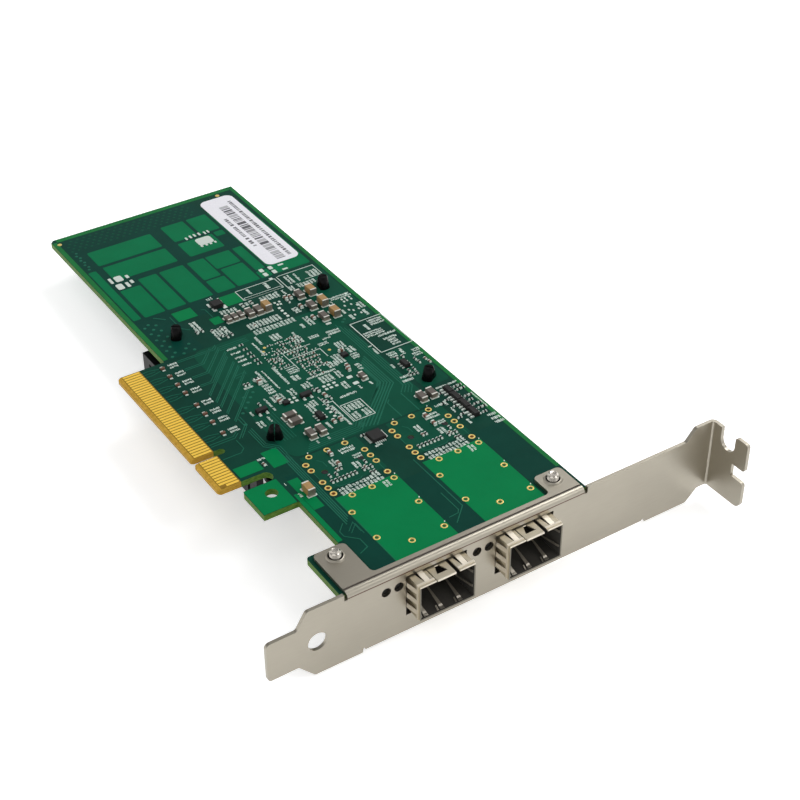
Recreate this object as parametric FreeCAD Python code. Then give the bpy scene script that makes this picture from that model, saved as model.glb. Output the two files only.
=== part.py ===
import FreeCAD, Part
import math
import os

# ---------------------------------------------------------------------------
# Two-port SFP+ network interface card, PCI Express x8, low-profile board on a
# full-height bracket.  Millimetres.
#
# Card datum used below:  X = 0 at the finger edge, +X to the card's top edge,
#                         Y = 0 at the bracket's outer face, +Y to the far end,
#                         Z = 0 at the solder face, components hang to -Z.
# ORIGIN at the end of this block moves that datum so that the bottom centre of
# the whole card's box lands on the world origin (+Z up).
# ---------------------------------------------------------------------------

V = FreeCAD.Vector

# --- board -----------------------------------------------------------------
BOARD_T = 1.57            # laminate thickness
BOARD_H = 68.90           # finger edge to top edge (low-profile card)
BOARD_NEAR = 1.20         # board end behind the bracket
BOARD_FAR = 165.60        # far end
BODY_X = 12.65            # lower edge of the board body past the finger tabs
FAR_CHAMFER = 0.9
SLIVER = 0.01             # keeps full rounds and coplanar faces just apart
PAST = 1.00               # cutting tools run this far past the stock

KEY_Y = 57.25             # centre of the key notch
KEY_HALF = 0.95
KEY_DEPTH = 8.30
SHORT_TAB = 12.15         # from notch centre back to the tab's end
LONG_TAB = 39.15          # from notch centre on to the tab's end
BEVEL_LEN = 0.95
BEVEL_DEG = 20.0

FINGER_PITCH = 1.00
FINGER_W = 0.70
FINGER_FROM_KEY = 1.50    # first finger's centre from the notch centre
FINGERS_SHORT = 11
FINGERS_LONG = 38
FINGER_X0 = 1.15
FINGER_X1 = 5.65
PRESENCE_X0 = 2.55        # the last finger of the short tab starts further in
PLATING_T = 0.04

SLOT_X = 13.00            # closed end of the slot beside the short tab
FOOT_FAR = 41.75          # retention foot, Y range and lower edge
FOOT_NEAR = 32.00
FOOT_X = 4.40
FOOT_HOLE_D = 3.00
FOOT_HOLE = (9.60, 37.80)
ROUND_TIP = 0.80          # corner radius at the tabs' ends
ROUND_KEY = 0.50          # lead-in radius at the key notch
WINDOW_X = 13.10          # window between foot and ear
EAR_FAR = 15.20
EAR_X = 4.95

# --- bracket ---------------------------------------------------------------
SHEET_T = 0.86
BRACKET_LEN = 119.40      # outer face of the screw tab to the tongue's tip
BRACKET_W = 18.42
TONGUE_TIP = -13.65
TONGUE_W = 10.19
TONGUE_ROOT = -6.30       # where the shoulders start
TONGUE_LEAN = 1.0         # degrees the tongue leans outwards
TONGUE_TIP_R = 1.10
SHOULDER_R = 0.80         # rounding of the outline's other corners
TAB_CORNER_R = 2.00
TAB_ROUND = 1.20          # flange tabs' corners
SHOULDER_TOP_X = -3.80
SHOULDER_LOW_X = -2.50
TAB_DEPTH = 11.43         # screw tab, measured from the face
TAB_SHIFT = 3.08          # screw tab sits this much toward the solder side
BEND_R = 0.50             # inside radius of the screw tab bend
MID_STEP = 0.60           # middle of the face is this much narrower
MID_X0 = 9.20
MID_END = 18.65           # from the screw tab back to the end of the narrow middle
FLARE_END = 7.70          # where the top edge starts to rise to the screw tab
FLARE_RUN = 2.60
LOW_FLARE_END = 6.00
LOW_FLARE_RUN = 3.20
RELIEF_W = 0.80
RELIEF_DEPTH = 0.70
STEP_RUN = 0.30           # slope of the small steps at the middle's ends
STEP_UP = 0.70

SLOT_U_Y = -5.20          # screw slot in the tab
SLOT_U_W = 4.60
SLOT_U_DEPTH = 5.20
NOTCH_Z = -5.40           # side notch in the tab
NOTCH_W = 3.40
NOTCH_DEPTH = 4.10

FLANGE_X0 = 5.90          # flange that lies on the solder face
FLANGE_TOP_GAP = 1.30     # flange end to the board's top edge
FLANGE_DROP = 2.20        # how far the fold reaches down the face
FLANGE_Y = 3.00
FLANGE_R = 1.20           # outside radius of the flange fold
GROOVE_Y = 1.60
GROOVE_W = 0.50
GROOVE_T = 0.22
CREASE_W = 0.16           # fine line pressed in under the fold
CREASE_T = 0.08
EAR_TAB_Y = 14.30
EAR_TAB_X1 = 13.80
TOP_TAB_Y = 9.45
TOP_TAB_W = 7.40

FACE_HOLE = (-1.55, -8.50)
FACE_HOLE_D = 4.60
LED_Z = -3.50
LED_FROM_PORT = 12.70     # a port's first light, below the port's centre line
LED_STEP = 3.15
LED_HOLE_D = 2.30

# --- bracket screws (M3, driven from the component side) --------------------
SCREW_D = 3.00
SCREW_LOW = (9.90, 11.30)
SCREW_TOP_GAP = 5.30      # upper screw from the board's top edge
SCREW_TOP_Y = 6.45
SCREW_TIP = 2.70          # tip above the solder face
SCREW_HEAD_D = 5.60
SCREW_HEAD_T = 1.90
CROSS_L = 3.20            # driver cross in the head
CROSS_W = 0.70
CROSS_T = 1.00
THREAD_GAP = 0.03
PEG_GAP = 0.05            # radial, host connector peg to its hole
BOARD_SCREW_GAP = 0.25    # radial, screw to board hole

# --- SFP+ cages ------------------------------------------------------------
PORT_PITCH = 23.20
PORT_TOP_GAP = 17.70      # upper port's centre line from the board's top edge
CAGE_W = 14.20
CAGE_H = 9.40
CAGE_T = 0.30
CAGE_STANDOFF = 0.30      # cage floor above the board, on pressed dimples
CAGE_FRONT = -4.30
CAGE_REAR = 44.90
CUTOUT_GAP_X = 0.68       # bracket cut-out around the cage
CUTOUT_GAP_TOP = 0.34
CUTOUT_GAP_LOW = 1.20
LATCH_W = 4.80            # latch tongue in the board-side wall
LATCH_OFFSET = -0.30
LATCH_SLIT = 0.25         # slit on one side of the tongue, slot on the other
LATCH_SLOT = 0.90
LATCH_LEN = 13.30
LATCH_HOLE_Y = (-2.60, -0.20)
LATCH_HOLE_W = (2.70, 0.90)
SIDE_VENT_Y = (14.0, 24.0, 34.0)
SIDE_VENT_L = 3.00
SIDE_VENT_H = 1.00
SIDE_VENT_Z = 3.20        # from the cage's outer wall
FOOT_PAD_Y = (7.00, 42.00)
FOOT_PAD_W = 1.20
HOST_OPENING_GAP = 0.30   # cage floor's opening round the host connector
HOST_OPENING_FRONT = 2.40
SPRING_T = 0.12
SPRING_SEAT_GAP = 0.01    # between the collar and the cage
SPRING_BAND_Y0 = -3.70
SPRING_BAND_Y1 = -3.10
SPRING_W = 1.30
SPRING_CREST_Y = -0.20
SPRING_TOE_Y = 1.45
SPRING_REACH_GAP = 0.05   # left between a finger and its cut-out edge
SPRINGS_TOP = (-4.50, 5.10)
SPRINGS_LOW = (-4.60, -1.50, 1.50, 4.60)
SPRINGS_SIDE = (-7.60, -4.70, -1.80)

# --- host connectors -------------------------------------------------------
HOST_W = 11.60
HOST_Y0 = 31.00
HOST_Y1 = 40.20
HOST_H = 6.20
HOST_SLOT_W = 9.40
HOST_SLOT_H = 1.25
HOST_SLOT_DEPTH = 5.50
HOST_SLOT_Z = 3.40        # slot centre below the component face
HOST_NOSE_L = 3.00
HOST_NOSE_GAP = 1.30
PEG_D = 1.50
PEG_L = 1.10
PEG_SIDES = 8
PEG_HALF = 4.75
PEG_Y = 37.70
CONTACTS_PER_ROW = 10
CONTACT_PITCH = 0.80
CONTACT_W = 0.36
CONTACT_T = 0.24
CONTACT_LEAD_IN = 0.40

# --- status lights behind the bracket's holes --------------------------------
LED_BODY_Y = (3.00, 7.40)
LED_BODY_H = 3.40
LED_WALL = 0.15
LENS_SIZE = 1.50
LENS_FRONT = 1.40

# --- controller, heatsink and its push pins ---------------------------------
CHIP_SIDE = 25.0
CHIP_AT = (41.75, 79.80)
LID_CHAMFER = 0.80
SUBSTRATE_T = 1.15
LID_SIDE = 21.0
LID_T = 1.30
PAD_T = 0.25
SINK_X0 = 12.50
SINK_TOP_GAP = 0.50
SINK_Y0 = 50.60
SINK_Y1 = 109.00
SINK_BASE_T = 1.50
SINK_FINS_H = 7.70
FINS_ACROSS = 7           # rows side by side over the card's height
FIN_T = 1.80
BLOCKS_ALONG = 13
BLOCK_L = 3.40
PIN_LOW_X = 20.30
PIN_TOP_GAP = 5.70        # upper pins from the board's top edge
PIN_Y = (55.00, 104.60)
PIN_D = 2.90
PIN_HOLE_D = 3.20
PIN_BARB = (4.05, 3.00)   # barb at the board, across its rounds and across its flats
PIN_TIP_SCALE = 0.60
PIN_BARB_H = 3.20
PIN_SLIT = 0.50           # splits the barb into two prongs
PIN_SLIT_Z = 0.60
PIN_TURNS = (-33.0, 57.0, 32.0, 82.0)
PIN_HEAD_D = 6.60
PIN_HEAD_T = 1.20
PIN_HEAD_DROP = 4.60      # head below the sink's base, room for the spring
PIN_CLEAR = 9.20          # square kept free of fins round each pin

# --- parts on the component side ----------------------------------------------
INDUCTOR = (9.00, 9.00, 4.60)
INDUCTOR_CHAMFER = 1.10
INDUCTOR_ROW = (3, 11.35, 18.90)      # how many, first from lower edge, last from top edge
INDUCTOR_ROW_Y = 124.00
LONE_INDUCTOR = (8.40, 141.00)        # lone parts: gap from the top edge, then Y
BULK_CAP = (4.30, 7.30, 2.80)
BULK_CAP_ROW = (4, 7.35, 24.90)
BULK_CAP_ROW_Y = 137.00
LONE_BULK_CAPS = ((7.90, 124.50), (16.90, 148.00))
DRAFT = 0.15              # moulded bodies narrow by this on every side
POWER_FET = (5.00, 6.00, 1.10)
POWER_FET_ROW = (5, 11.35, 12.90)
POWER_FET_ROW_Y = 115.20
MEMORY_CHIP = (5.00, 6.20, 1.70)
MEMORY_CHIPS = ((8.90, 155.00), (20.90, 156.00))
CRYSTAL = (3.20, 5.00, 1.20)
CRYSTAL_CHAMFER = 0.40
CRYSTAL_AT = (16.50, 116.50)
SUPERVISOR = (7.00, 7.00, 1.00)
SUPERVISOR_AT = (30.00, 152.00)

# --- parts on the solder side ---------------------------------------------------
# *_TOP places are (gap from the board's top edge, Y); the others are (X, Y)
QUAD_AT = (39.75, 42.20)
QUAD = (3.70, 3.70, 0.95)
QUAD_LEADS = 6            # on each side
QUAD_PITCH = 0.50
LEAD_OUT = 0.60
LEAD_T = 0.22
CHIP_LIFT = 0.10
SOT = (1.60, 2.90, 1.05)
SOT_PITCH = 0.95
SOT_LEAD_W = 0.40
SOTS_TOP = ((4.95, 37.10), (4.95, 40.65), (4.95, 44.20), (4.95, 47.75), (7.55, 62.70))
SOTS_LOW = ((33.05, 55.90),)
CAP_W = 1.60
CAP_L = 3.20
CAP_H = 1.25
CAPS_TOP = ((9.10, 48.90), (11.90, 48.90), (13.30, 91.60), (13.30, 97.70), (13.30, 103.90))
CAPS_LOW = ((30.30, 51.00), (27.60, 51.00), (43.10, 103.40), (40.60, 103.40))
CAPS_ACROSS = ((27.00, 57.10), (27.00, 59.70))
SLIM_CAP = (1.20, 2.60, 1.00)
SLIM_CAPS = ((49.90, 64.00), (38.30, 104.10), (36.50, 104.10), (34.70, 104.10))
TALL_CAP = (1.75, 3.30, 1.90)
TALL_CAPS_TOP = ((10.00, 91.60), (10.00, 97.60), (10.00, 103.80))
TALL_CAPS_LOW = ((45.50, 103.50), (16.60, 33.60))
CAP_END = 0.45
COUPLING_X = 11.00
COUPLING_Y = (62.90, 68.00, 71.80, 76.00, 81.80, 85.80, 89.90, 93.90)
COUPLING = (1.05, 0.55, 0.50)
DIODE_AT = (35.40, 111.60)
DIODE = (2.70, 2.60, 1.20)
LABEL_TOP_GAP = 2.60      # label's long edge to the board's top edge
LABEL_W = 10.10
LABEL_Y = (121.40, 161.60)
LABEL_T = 0.12
LABEL_R = 2.00

# --- placement --------------------------------------------------------------
TAB_OUT = TONGUE_TIP + BRACKET_LEN
TAB_IN = TAB_OUT - SHEET_T
MID_X1 = TAB_IN - MID_END
FLANGE_X1 = BOARD_H - FLANGE_TOP_GAP
TOP_TAB_X0 = FLANGE_X1 - TOP_TAB_W
SCREW_AT = (SCREW_LOW, (BOARD_H - SCREW_TOP_GAP, SCREW_TOP_Y))
SINK_X1 = BOARD_H - SINK_TOP_GAP
PORT_X = (BOARD_H - PORT_TOP_GAP - PORT_PITCH, BOARD_H - PORT_TOP_GAP)
PIN_AT = [(x, y) for x in (PIN_LOW_X, BOARD_H - PIN_TOP_GAP) for y in PIN_Y]
Z_TOP = SHEET_T                       # bracket edge level with the flange
Z_LOW = Z_TOP - BRACKET_W
Z_MID = (Z_TOP + Z_LOW) / 2
Z_COMP = -BOARD_T                     # component face
ORIGIN = V(-(TONGUE_TIP + TAB_OUT) / 2, -(BOARD_FAR - TAB_DEPTH) / 2, -Z_LOW)


# --- helpers ----------------------------------------------------------------
def box(x0, x1, y0, y1, z0, z1):
    return Part.makeBox(x1 - x0, y1 - y0, z1 - z0, V(x0, y0, z0))


def cyl(x, y, z0, z1, d):
    return Part.makeCylinder(d / 2, z1 - z0, V(x, y, z0))


def rounded_wire(corners, to_3d):
    """Closed wire through (u, v, radius) corners; to_3d maps (u, v) to a point."""
    n = len(corners)
    starts = []
    ends = []
    mids = []
    for i in range(n):
        u, v, r = corners[i]
        p = V(u, v, 0)
        a = V(corners[i - 1][0], corners[i - 1][1], 0)
        b = V(corners[(i + 1) % n][0], corners[(i + 1) % n][1], 0)
        if r <= 0:
            starts.append(p)
            ends.append(p)
            mids.append(None)
            continue
        da = (a - p).normalize()
        db = (b - p).normalize()
        half = da.getAngle(db) / 2
        t = r / math.tan(half)
        centre = p + (da + db).normalize() * (r / math.sin(half))
        starts.append(p + da * t)
        ends.append(p + db * t)
        mids.append(centre + (p - centre).normalize() * r)
    edges = []
    for i in range(n):
        if mids[i] is not None:
            three = [to_3d(q.x, q.y) for q in (starts[i], mids[i], ends[i])]
            edges.append(Part.Arc(*three).toShape())
        j = (i + 1) % n
        if (starts[j] - ends[i]).Length > 1e-6:
            edges.append(Part.makeLine(to_3d(ends[i].x, ends[i].y), to_3d(starts[j].x, starts[j].y)))
    return Part.Wire(edges)


def prism_z(corners, z0, z1):
    """Outline in (x, y), from z0 to z1."""
    wire = rounded_wire(corners, lambda u, v: V(u, v, z0))
    return Part.Face(wire).extrude(V(0, 0, z1 - z0))


def prism_y(corners, y0, y1):
    """Outline in (x, z), from y0 to y1."""
    wire = rounded_wire(corners, lambda u, v: V(u, y0, v))
    return Part.Face(wire).extrude(V(0, y1 - y0, 0))


def prism_x(corners, x0, x1):
    """Outline in (y, z), from x0 to x1."""
    wire = rounded_wire(corners, lambda u, v: V(x0, u, v))
    return Part.Face(wire).extrude(V(x1 - x0, 0, 0))


def slab(x0, x1, y0, y1, z0, z1, r):
    """Box with rounded upright edges."""
    return prism_z([(x0, y0, r), (x1, y0, r), (x1, y1, r), (x0, y1, r)], z0, z1)


def chamfered(x0, x1, y0, y1, z0, z1, c):
    """Box with its upright edges cut off at 45 degrees."""
    corners = [
        (x0 + c, y0, 0), (x1 - c, y0, 0), (x1, y0 + c, 0), (x1, y1 - c, 0),
        (x1 - c, y1, 0), (x0 + c, y1, 0), (x0, y1 - c, 0), (x0, y0 + c, 0),
    ]
    return prism_z(corners, z0, z1)


def frustum(lower, upper):
    """Solid with flat sides between two rings of corners, the upper above the lower."""
    n = len(lower)
    loops = [lower[::-1], upper]
    for k in range(n):
        m = (k + 1) % n
        loops.append([lower[k], lower[m], upper[m], upper[k]])
    shell = Part.makeShell([Part.Face(Part.makePolygon(loop + loop[:1])) for loop in loops])
    shell.sewShape()
    return Part.makeSolid(shell)


def turned(x, y, profile):
    """Solid of revolution about the upright line through (x, y)."""
    points = [V(r, 0, z) for r, z in profile]
    solid = Part.Face(Part.makePolygon(points + points[:1])).revolve(V(0, 0, 0), V(0, 0, 1), 360)
    solid.translate(V(x, y, 0))
    return solid


def from_top(places):
    """(gap from the board's top edge, Y) places as (X, Y)."""
    return [(BOARD_H - gap, y) for gap, y in places]


def row(spec, y):
    """Evenly spaced places between the board's lower and top edges."""
    count, low, high = spec
    first = BODY_X + low
    step = (BOARD_H - high - first) / (count - 1)
    return [(first + k * step, y) for k in range(count)]


def save(name, shapes):
    shape = shapes if isinstance(shapes, Part.Shape) else Part.makeCompound(shapes)
    shape = shape.copy()
    shape.translate(ORIGIN)
    shape.exportStep("parts/" + name + ".step")


# --- circuit board ----------------------------------------------------------
def make_board():
    key0 = KEY_Y - KEY_HALF
    key1 = KEY_Y + KEY_HALF
    tab0 = KEY_Y - SHORT_TAB
    tab1 = KEY_Y + LONG_TAB
    slot_r = (tab0 - FOOT_FAR) / 2 - SLIVER
    outline = [
        (BOARD_H, BOARD_NEAR, 0),
        (EAR_X, BOARD_NEAR, 0),
        (EAR_X, EAR_FAR, ROUND_TIP),
        (WINDOW_X, EAR_FAR, 0),
        (WINDOW_X, FOOT_NEAR, 0),
        (FOOT_X, FOOT_NEAR, 0),
        (FOOT_X, FOOT_FAR, ROUND_TIP),
        (SLOT_X, FOOT_FAR, slot_r),
        (SLOT_X, tab0, slot_r),
        (0, tab0, ROUND_TIP),
        (0, key0, ROUND_KEY),
        (KEY_DEPTH, key0, KEY_HALF - SLIVER),
        (KEY_DEPTH, key1, KEY_HALF - SLIVER),
        (0, key1, ROUND_KEY),
        (0, tab1, ROUND_TIP),
        (BODY_X, tab1, 0),
        (BODY_X, BOARD_FAR - FAR_CHAMFER, 0),
        (BODY_X + FAR_CHAMFER, BOARD_FAR, 0),
        (BOARD_H, BOARD_FAR, 0),
    ]
    board = prism_z(outline, Z_COMP, 0)
    drop = (BEVEL_LEN + PAST) * math.tan(math.radians(BEVEL_DEG))
    upper = [(BEVEL_LEN, 0, 0), (BEVEL_LEN, PAST, 0), (-PAST, PAST, 0), (-PAST, -drop, 0)]
    lower = [(u, Z_COMP - v, 0) for u, v, r in upper]
    cuts = [prism_y(bevel, tab0 - PAST, tab1 + PAST) for bevel in (upper, lower)]
    holes = [(FOOT_HOLE, FOOT_HOLE_D)]
    holes += [(at, SCREW_D + 2 * BOARD_SCREW_GAP) for at in SCREW_AT]
    holes += [(at, PIN_HOLE_D) for at in PIN_AT]
    pegs = [(port + side * PEG_HALF, PEG_Y) for port in PORT_X for side in (-1, 1)]
    holes += [(at, PEG_D + 2 * PEG_GAP) for at in pegs]
    cuts += [cyl(x, y, Z_COMP - PAST, PAST, d) for (x, y), d in holes]
    return board.cut(cuts)


def finger_centres():
    short = [KEY_Y - FINGER_FROM_KEY - i * FINGER_PITCH for i in range(FINGERS_SHORT)]
    long = [KEY_Y + FINGER_FROM_KEY + i * FINGER_PITCH for i in range(FINGERS_LONG)]
    return short, long


def make_fingers(z0, z1):
    short, long = finger_centres()
    out = []
    for y in short + long:
        x0 = PRESENCE_X0 if y == short[-1] else FINGER_X0
        out.append(box(x0, FINGER_X1, y - FINGER_W / 2, y + FINGER_W / 2, z0, z1))
    return out


# --- bracket ----------------------------------------------------------------
def face_outline():
    tongue_top = Z_MID + TONGUE_W / 2
    tongue_low = Z_MID - TONGUE_W / 2
    tab_top = Z_TOP + TAB_SHIFT
    tab_low = Z_LOW + TAB_SHIFT
    mid_low = Z_LOW + MID_STEP
    flare = TAB_IN - FLARE_END
    low_flare = TAB_IN - LOW_FLARE_END
    return [
        (TONGUE_TIP, tongue_low, TONGUE_TIP_R),
        (TONGUE_ROOT, tongue_low, SHOULDER_R),
        (SHOULDER_LOW_X, Z_LOW, SHOULDER_R),
        (MID_X0, Z_LOW, 0),
        (MID_X0 + STEP_RUN, mid_low + STEP_UP, 0),
        (MID_X0 + RELIEF_W, mid_low, 0),
        (MID_X1 - RELIEF_W, mid_low, 0),
        (MID_X1 - STEP_RUN, mid_low + STEP_UP, 0),
        (MID_X1 + STEP_RUN, Z_LOW, 0),
        (low_flare, Z_LOW, SHOULDER_R),
        (low_flare + LOW_FLARE_RUN, tab_low, SHOULDER_R),
        (TAB_OUT + PAST, tab_low, 0),
        (TAB_OUT + PAST, tab_top, 0),
        (flare + FLARE_RUN, tab_top, SHOULDER_R),
        (flare, Z_TOP, SHOULDER_R),
        (SHOULDER_TOP_X, Z_TOP, SHOULDER_R),
        (TONGUE_ROOT, tongue_top, SHOULDER_R),
        (TONGUE_TIP, tongue_top, TONGUE_TIP_R),
    ]


def sheet_profile():
    """The strip seen edge on: leaning tongue, face, and the bend into the screw tab."""
    lean = math.tan(math.radians(TONGUE_LEAN))
    tip_y = (TONGUE_TIP - TONGUE_ROOT) * lean
    return [
        (TONGUE_TIP, tip_y, 0),
        (TONGUE_ROOT, 0, 0),
        (TAB_IN, 0, BEND_R),
        (TAB_IN, -TAB_DEPTH, 0),
        (TAB_OUT, -TAB_DEPTH, 0),
        (TAB_OUT, SHEET_T, BEND_R + SHEET_T),
        (TONGUE_ROOT, SHEET_T, 0),
        (TONGUE_TIP, SHEET_T + tip_y, 0),
    ]


def tab_outline():
    """Screw tab in (y, z): open screw slot on top, notch in its outer edge."""
    tab_top = Z_TOP + TAB_SHIFT
    tab_low = Z_LOW + TAB_SHIFT
    u0 = SLOT_U_Y - SLOT_U_W / 2
    u1 = SLOT_U_Y + SLOT_U_W / 2
    n0 = NOTCH_Z - NOTCH_W / 2
    n1 = NOTCH_Z + NOTCH_W / 2
    inner = -TAB_DEPTH + NOTCH_DEPTH
    slot_r = SLOT_U_W / 2 - SLIVER
    return [
        (SHEET_T + PAST, tab_low, 0),
        (-TAB_DEPTH, tab_low, TAB_CORNER_R),
        (-TAB_DEPTH, n0, SHOULDER_R),
        (inner, n0, 0),
        (inner, n1, 0),
        (-TAB_DEPTH, n1, SHOULDER_R),
        (-TAB_DEPTH, tab_top, SHOULDER_R),
        (u0, tab_top, SHOULDER_R),
        (u0, tab_top - SLOT_U_DEPTH, slot_r),
        (u1, tab_top - SLOT_U_DEPTH, slot_r),
        (u1, tab_top, 0),
        (SHEET_T + PAST, tab_top, 0),
    ]


def make_flange():
    """Folded flange: an edge-on fold profile swept across, trimmed to its plan."""
    fold_low = Z_TOP - FLANGE_DROP
    g0 = GROOVE_Y - GROOVE_W / 2
    g1 = GROOVE_Y + GROOVE_W / 2
    crease = SHEET_T - FLANGE_R
    fold = [
        (0, fold_low, 0),
        (0, crease - CREASE_W, 0),
        (CREASE_T, crease - CREASE_W, 0),
        (CREASE_T, crease, 0),
        (0, crease, 0),
        (0, SHEET_T, FLANGE_R),
        (g0, SHEET_T, 0),
        (g0, SHEET_T - GROOVE_T, 0),
        (g1, SHEET_T - GROOVE_T, 0),
        (g1, SHEET_T, 0),
        (EAR_TAB_Y, SHEET_T, 0),
        (EAR_TAB_Y, 0, 0),
        (SHEET_T, 0, FLANGE_R - SHEET_T),
        (SHEET_T, fold_low, 0),
    ]
    plan = [
        (FLANGE_X0, -PAST, 0),
        (FLANGE_X0, EAR_TAB_Y, TAB_ROUND),
        (EAR_TAB_X1, EAR_TAB_Y, TAB_ROUND),
        (EAR_TAB_X1, FLANGE_Y, TAB_ROUND),
        (TOP_TAB_X0, FLANGE_Y, TAB_ROUND),
        (TOP_TAB_X0, TOP_TAB_Y, TAB_ROUND),
        (FLANGE_X1, TOP_TAB_Y, TAB_ROUND),
        (FLANGE_X1, -PAST, 0),
    ]
    trim = prism_z(plan, fold_low - PAST, SHEET_T + PAST)
    return prism_x(fold, FLANGE_X0, FLANGE_X1).common(trim)


def make_bracket():
    top = Z_TOP + TAB_SHIFT + PAST
    sheet = prism_z(sheet_profile(), Z_LOW - PAST, top)
    face_part = prism_y(face_outline(), -PAST, SHEET_T + SLIVER)
    tab_part = prism_x(tab_outline(), TAB_IN - SLIVER, TAB_OUT + SLIVER)
    plate = sheet.common(face_part.fuse(tab_part))
    room = [
        box(FLANGE_X0 - RELIEF_W, FLANGE_X1 + RELIEF_W, -PAST, SHEET_T + PAST, -RELIEF_DEPTH, top),
        box(FLANGE_X0, FLANGE_X1, -PAST, SHEET_T + PAST, Z_TOP - FLANGE_DROP, top),
    ]
    plate = plate.cut(room)
    plate = plate.fuse(make_flange())

    cuts = [cyl(x, y, -PAST, SHEET_T + PAST, SCREW_D + 2 * THREAD_GAP) for x, y in SCREW_AT]
    through = SHEET_T + 2 * PAST
    holes = [(FACE_HOLE[0], FACE_HOLE[1], FACE_HOLE_D)] + [(x, LED_Z, LED_HOLE_D) for x in led_centres()]
    cuts += [Part.makeCylinder(d / 2, through, V(x, -PAST, z), V(0, 1, 0)) for x, z, d in holes]
    high = cage_top() + CUTOUT_GAP_TOP
    low = cage_top() - CAGE_H - CUTOUT_GAP_LOW
    half = CAGE_W / 2 + CUTOUT_GAP_X
    for port in PORT_X:
        cuts.append(box(port - half, port + half, -PAST, SHEET_T + PAST, low, high))
    return plate.cut(cuts).removeSplitter()


def led_centres():
    return [port - LED_FROM_PORT + k * LED_STEP for port in PORT_X for k in (0, 1)]


def cage_top():
    """Board-side wall of the cage."""
    return Z_COMP - CAGE_STANDOFF


# --- bracket screws ---------------------------------------------------------
def make_screw(x, y):
    """Turned head and shank, then the driver cross in the head."""
    r = SCREW_D / 2
    z_head = Z_COMP - SCREW_HEAD_T
    profile = [
        (0, z_head),
        (SCREW_HEAD_D / 2, z_head),
        (SCREW_HEAD_D / 2, Z_COMP),
        (r, Z_COMP),
        (r, SCREW_TIP),
        (0, SCREW_TIP),
    ]
    half = CROSS_L / 2
    rib = CROSS_W / 2
    z0 = z_head - PAST
    z1 = z_head + CROSS_T
    along = box(x - half, x + half, y - rib, y + rib, z0, z1)
    across = box(x - rib, x + rib, y - half, y + half, z0, z1)
    return turned(x, y, profile).cut([along, across]).removeSplitter()


# --- cages ------------------------------------------------------------------
def make_cage(port):
    top = cage_top()
    low = top - CAGE_H
    half = CAGE_W / 2
    t = CAGE_T
    outer = box(port - half, port + half, CAGE_FRONT, CAGE_REAR, low, top)
    inner = box(port - half + t, port + half - t, CAGE_FRONT - PAST, CAGE_REAR - t, low + t, top - t)
    cage = outer.cut(inner)
    host_half = HOST_W / 2 + HOST_OPENING_GAP
    host_y0 = HOST_Y0 - HOST_OPENING_FRONT
    host_y1 = HOST_Y1 + HOST_OPENING_GAP
    lid0 = top - t - SLIVER
    lid1 = top + SLIVER
    cuts = [box(port - host_half, port + host_half, host_y0, host_y1, lid0, lid1)]
    mid = port + LATCH_OFFSET
    left = mid - LATCH_W / 2
    right = mid + LATCH_W / 2
    latch_end = CAGE_FRONT + LATCH_LEN
    cuts.append(box(left - LATCH_SLIT, left, CAGE_FRONT - PAST, latch_end, lid0, lid1))
    cuts.append(box(right, right + LATCH_SLOT, CAGE_FRONT - PAST, latch_end, lid0, lid1))
    y0, y1 = LATCH_HOLE_Y
    w0, w1 = LATCH_HOLE_W
    hole = [
        (mid - w0 / 2, y0, 0),
        (mid + w0 / 2, y0, 0),
        (mid + w1 / 2, y1, 0),
        (mid - w1 / 2, y1, 0),
    ]
    cuts.append(prism_z(hole, lid0, lid1))
    for y in SIDE_VENT_Y:
        z = low + SIDE_VENT_Z
        cuts.append(box(port - half - PAST, port + half + PAST, y, y + SIDE_VENT_L, z, z + SIDE_VENT_H))
    feet = []
    for side in (-1, 1):
        x = port + side * (half - FOOT_PAD_W)
        for y in FOOT_PAD_Y:
            feet.append(box(x - FOOT_PAD_W / 2, x + FOOT_PAD_W / 2, y, y + FOOT_PAD_W, top, Z_COMP))
    return cage.cut(cuts).fuse(feet).removeSplitter()


def spring_profile(room):
    """One finger in (along, out): leaves the band, bows out nearly to fill the room, returns."""
    reach = room - SPRING_REACH_GAP
    t = SPRING_T
    return [
        (SPRING_BAND_Y1 - t, 0, 0),
        (SPRING_CREST_Y, reach - t, 0),
        (SPRING_TOE_Y, 0, 0),
        (SPRING_TOE_Y + t, 0, 0),
        (SPRING_CREST_Y, reach, 0),
        (SPRING_BAND_Y1 - t, t, 0),
    ]


def make_springs(port):
    top = cage_top()
    low = top - CAGE_H
    half = CAGE_W / 2
    t = SPRING_T
    w = SPRING_W / 2
    gap = SPRING_SEAT_GAP
    band = box(port - half - t, port + half + t, SPRING_BAND_Y0, SPRING_BAND_Y1, low - t, top + t)
    band = band.cut(box(port - half - gap, port + half + gap, CAGE_FRONT, CAGE_REAR, low - gap, top + gap))
    mid = port + LATCH_OFFSET
    left = mid - LATCH_W / 2 - LATCH_SLIT
    right = mid + LATCH_W / 2 + LATCH_SLOT
    band = band.cut(box(left, right, CAGE_FRONT, CAGE_REAR, top, top + PAST))
    fingers = []
    upper = [(u, top + gap + v, r) for u, v, r in spring_profile(CUTOUT_GAP_TOP)]
    lower = [(u, low - gap - v, r) for u, v, r in spring_profile(CUTOUT_GAP_LOW)]
    for profile, places in ((upper, SPRINGS_TOP), (lower, SPRINGS_LOW)):
        fingers += [prism_x(profile, port + dx - w, port + dx + w) for dx in places]
    for side in (-1, 1):
        wall = port + side * (half + gap)
        profile = [(wall + side * v, u, r) for u, v, r in spring_profile(CUTOUT_GAP_X)]
        fingers += [prism_z(profile, top + dz - w, top + dz + w) for dz in SPRINGS_SIDE]
    return band.fuse(fingers).removeSplitter()


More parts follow.
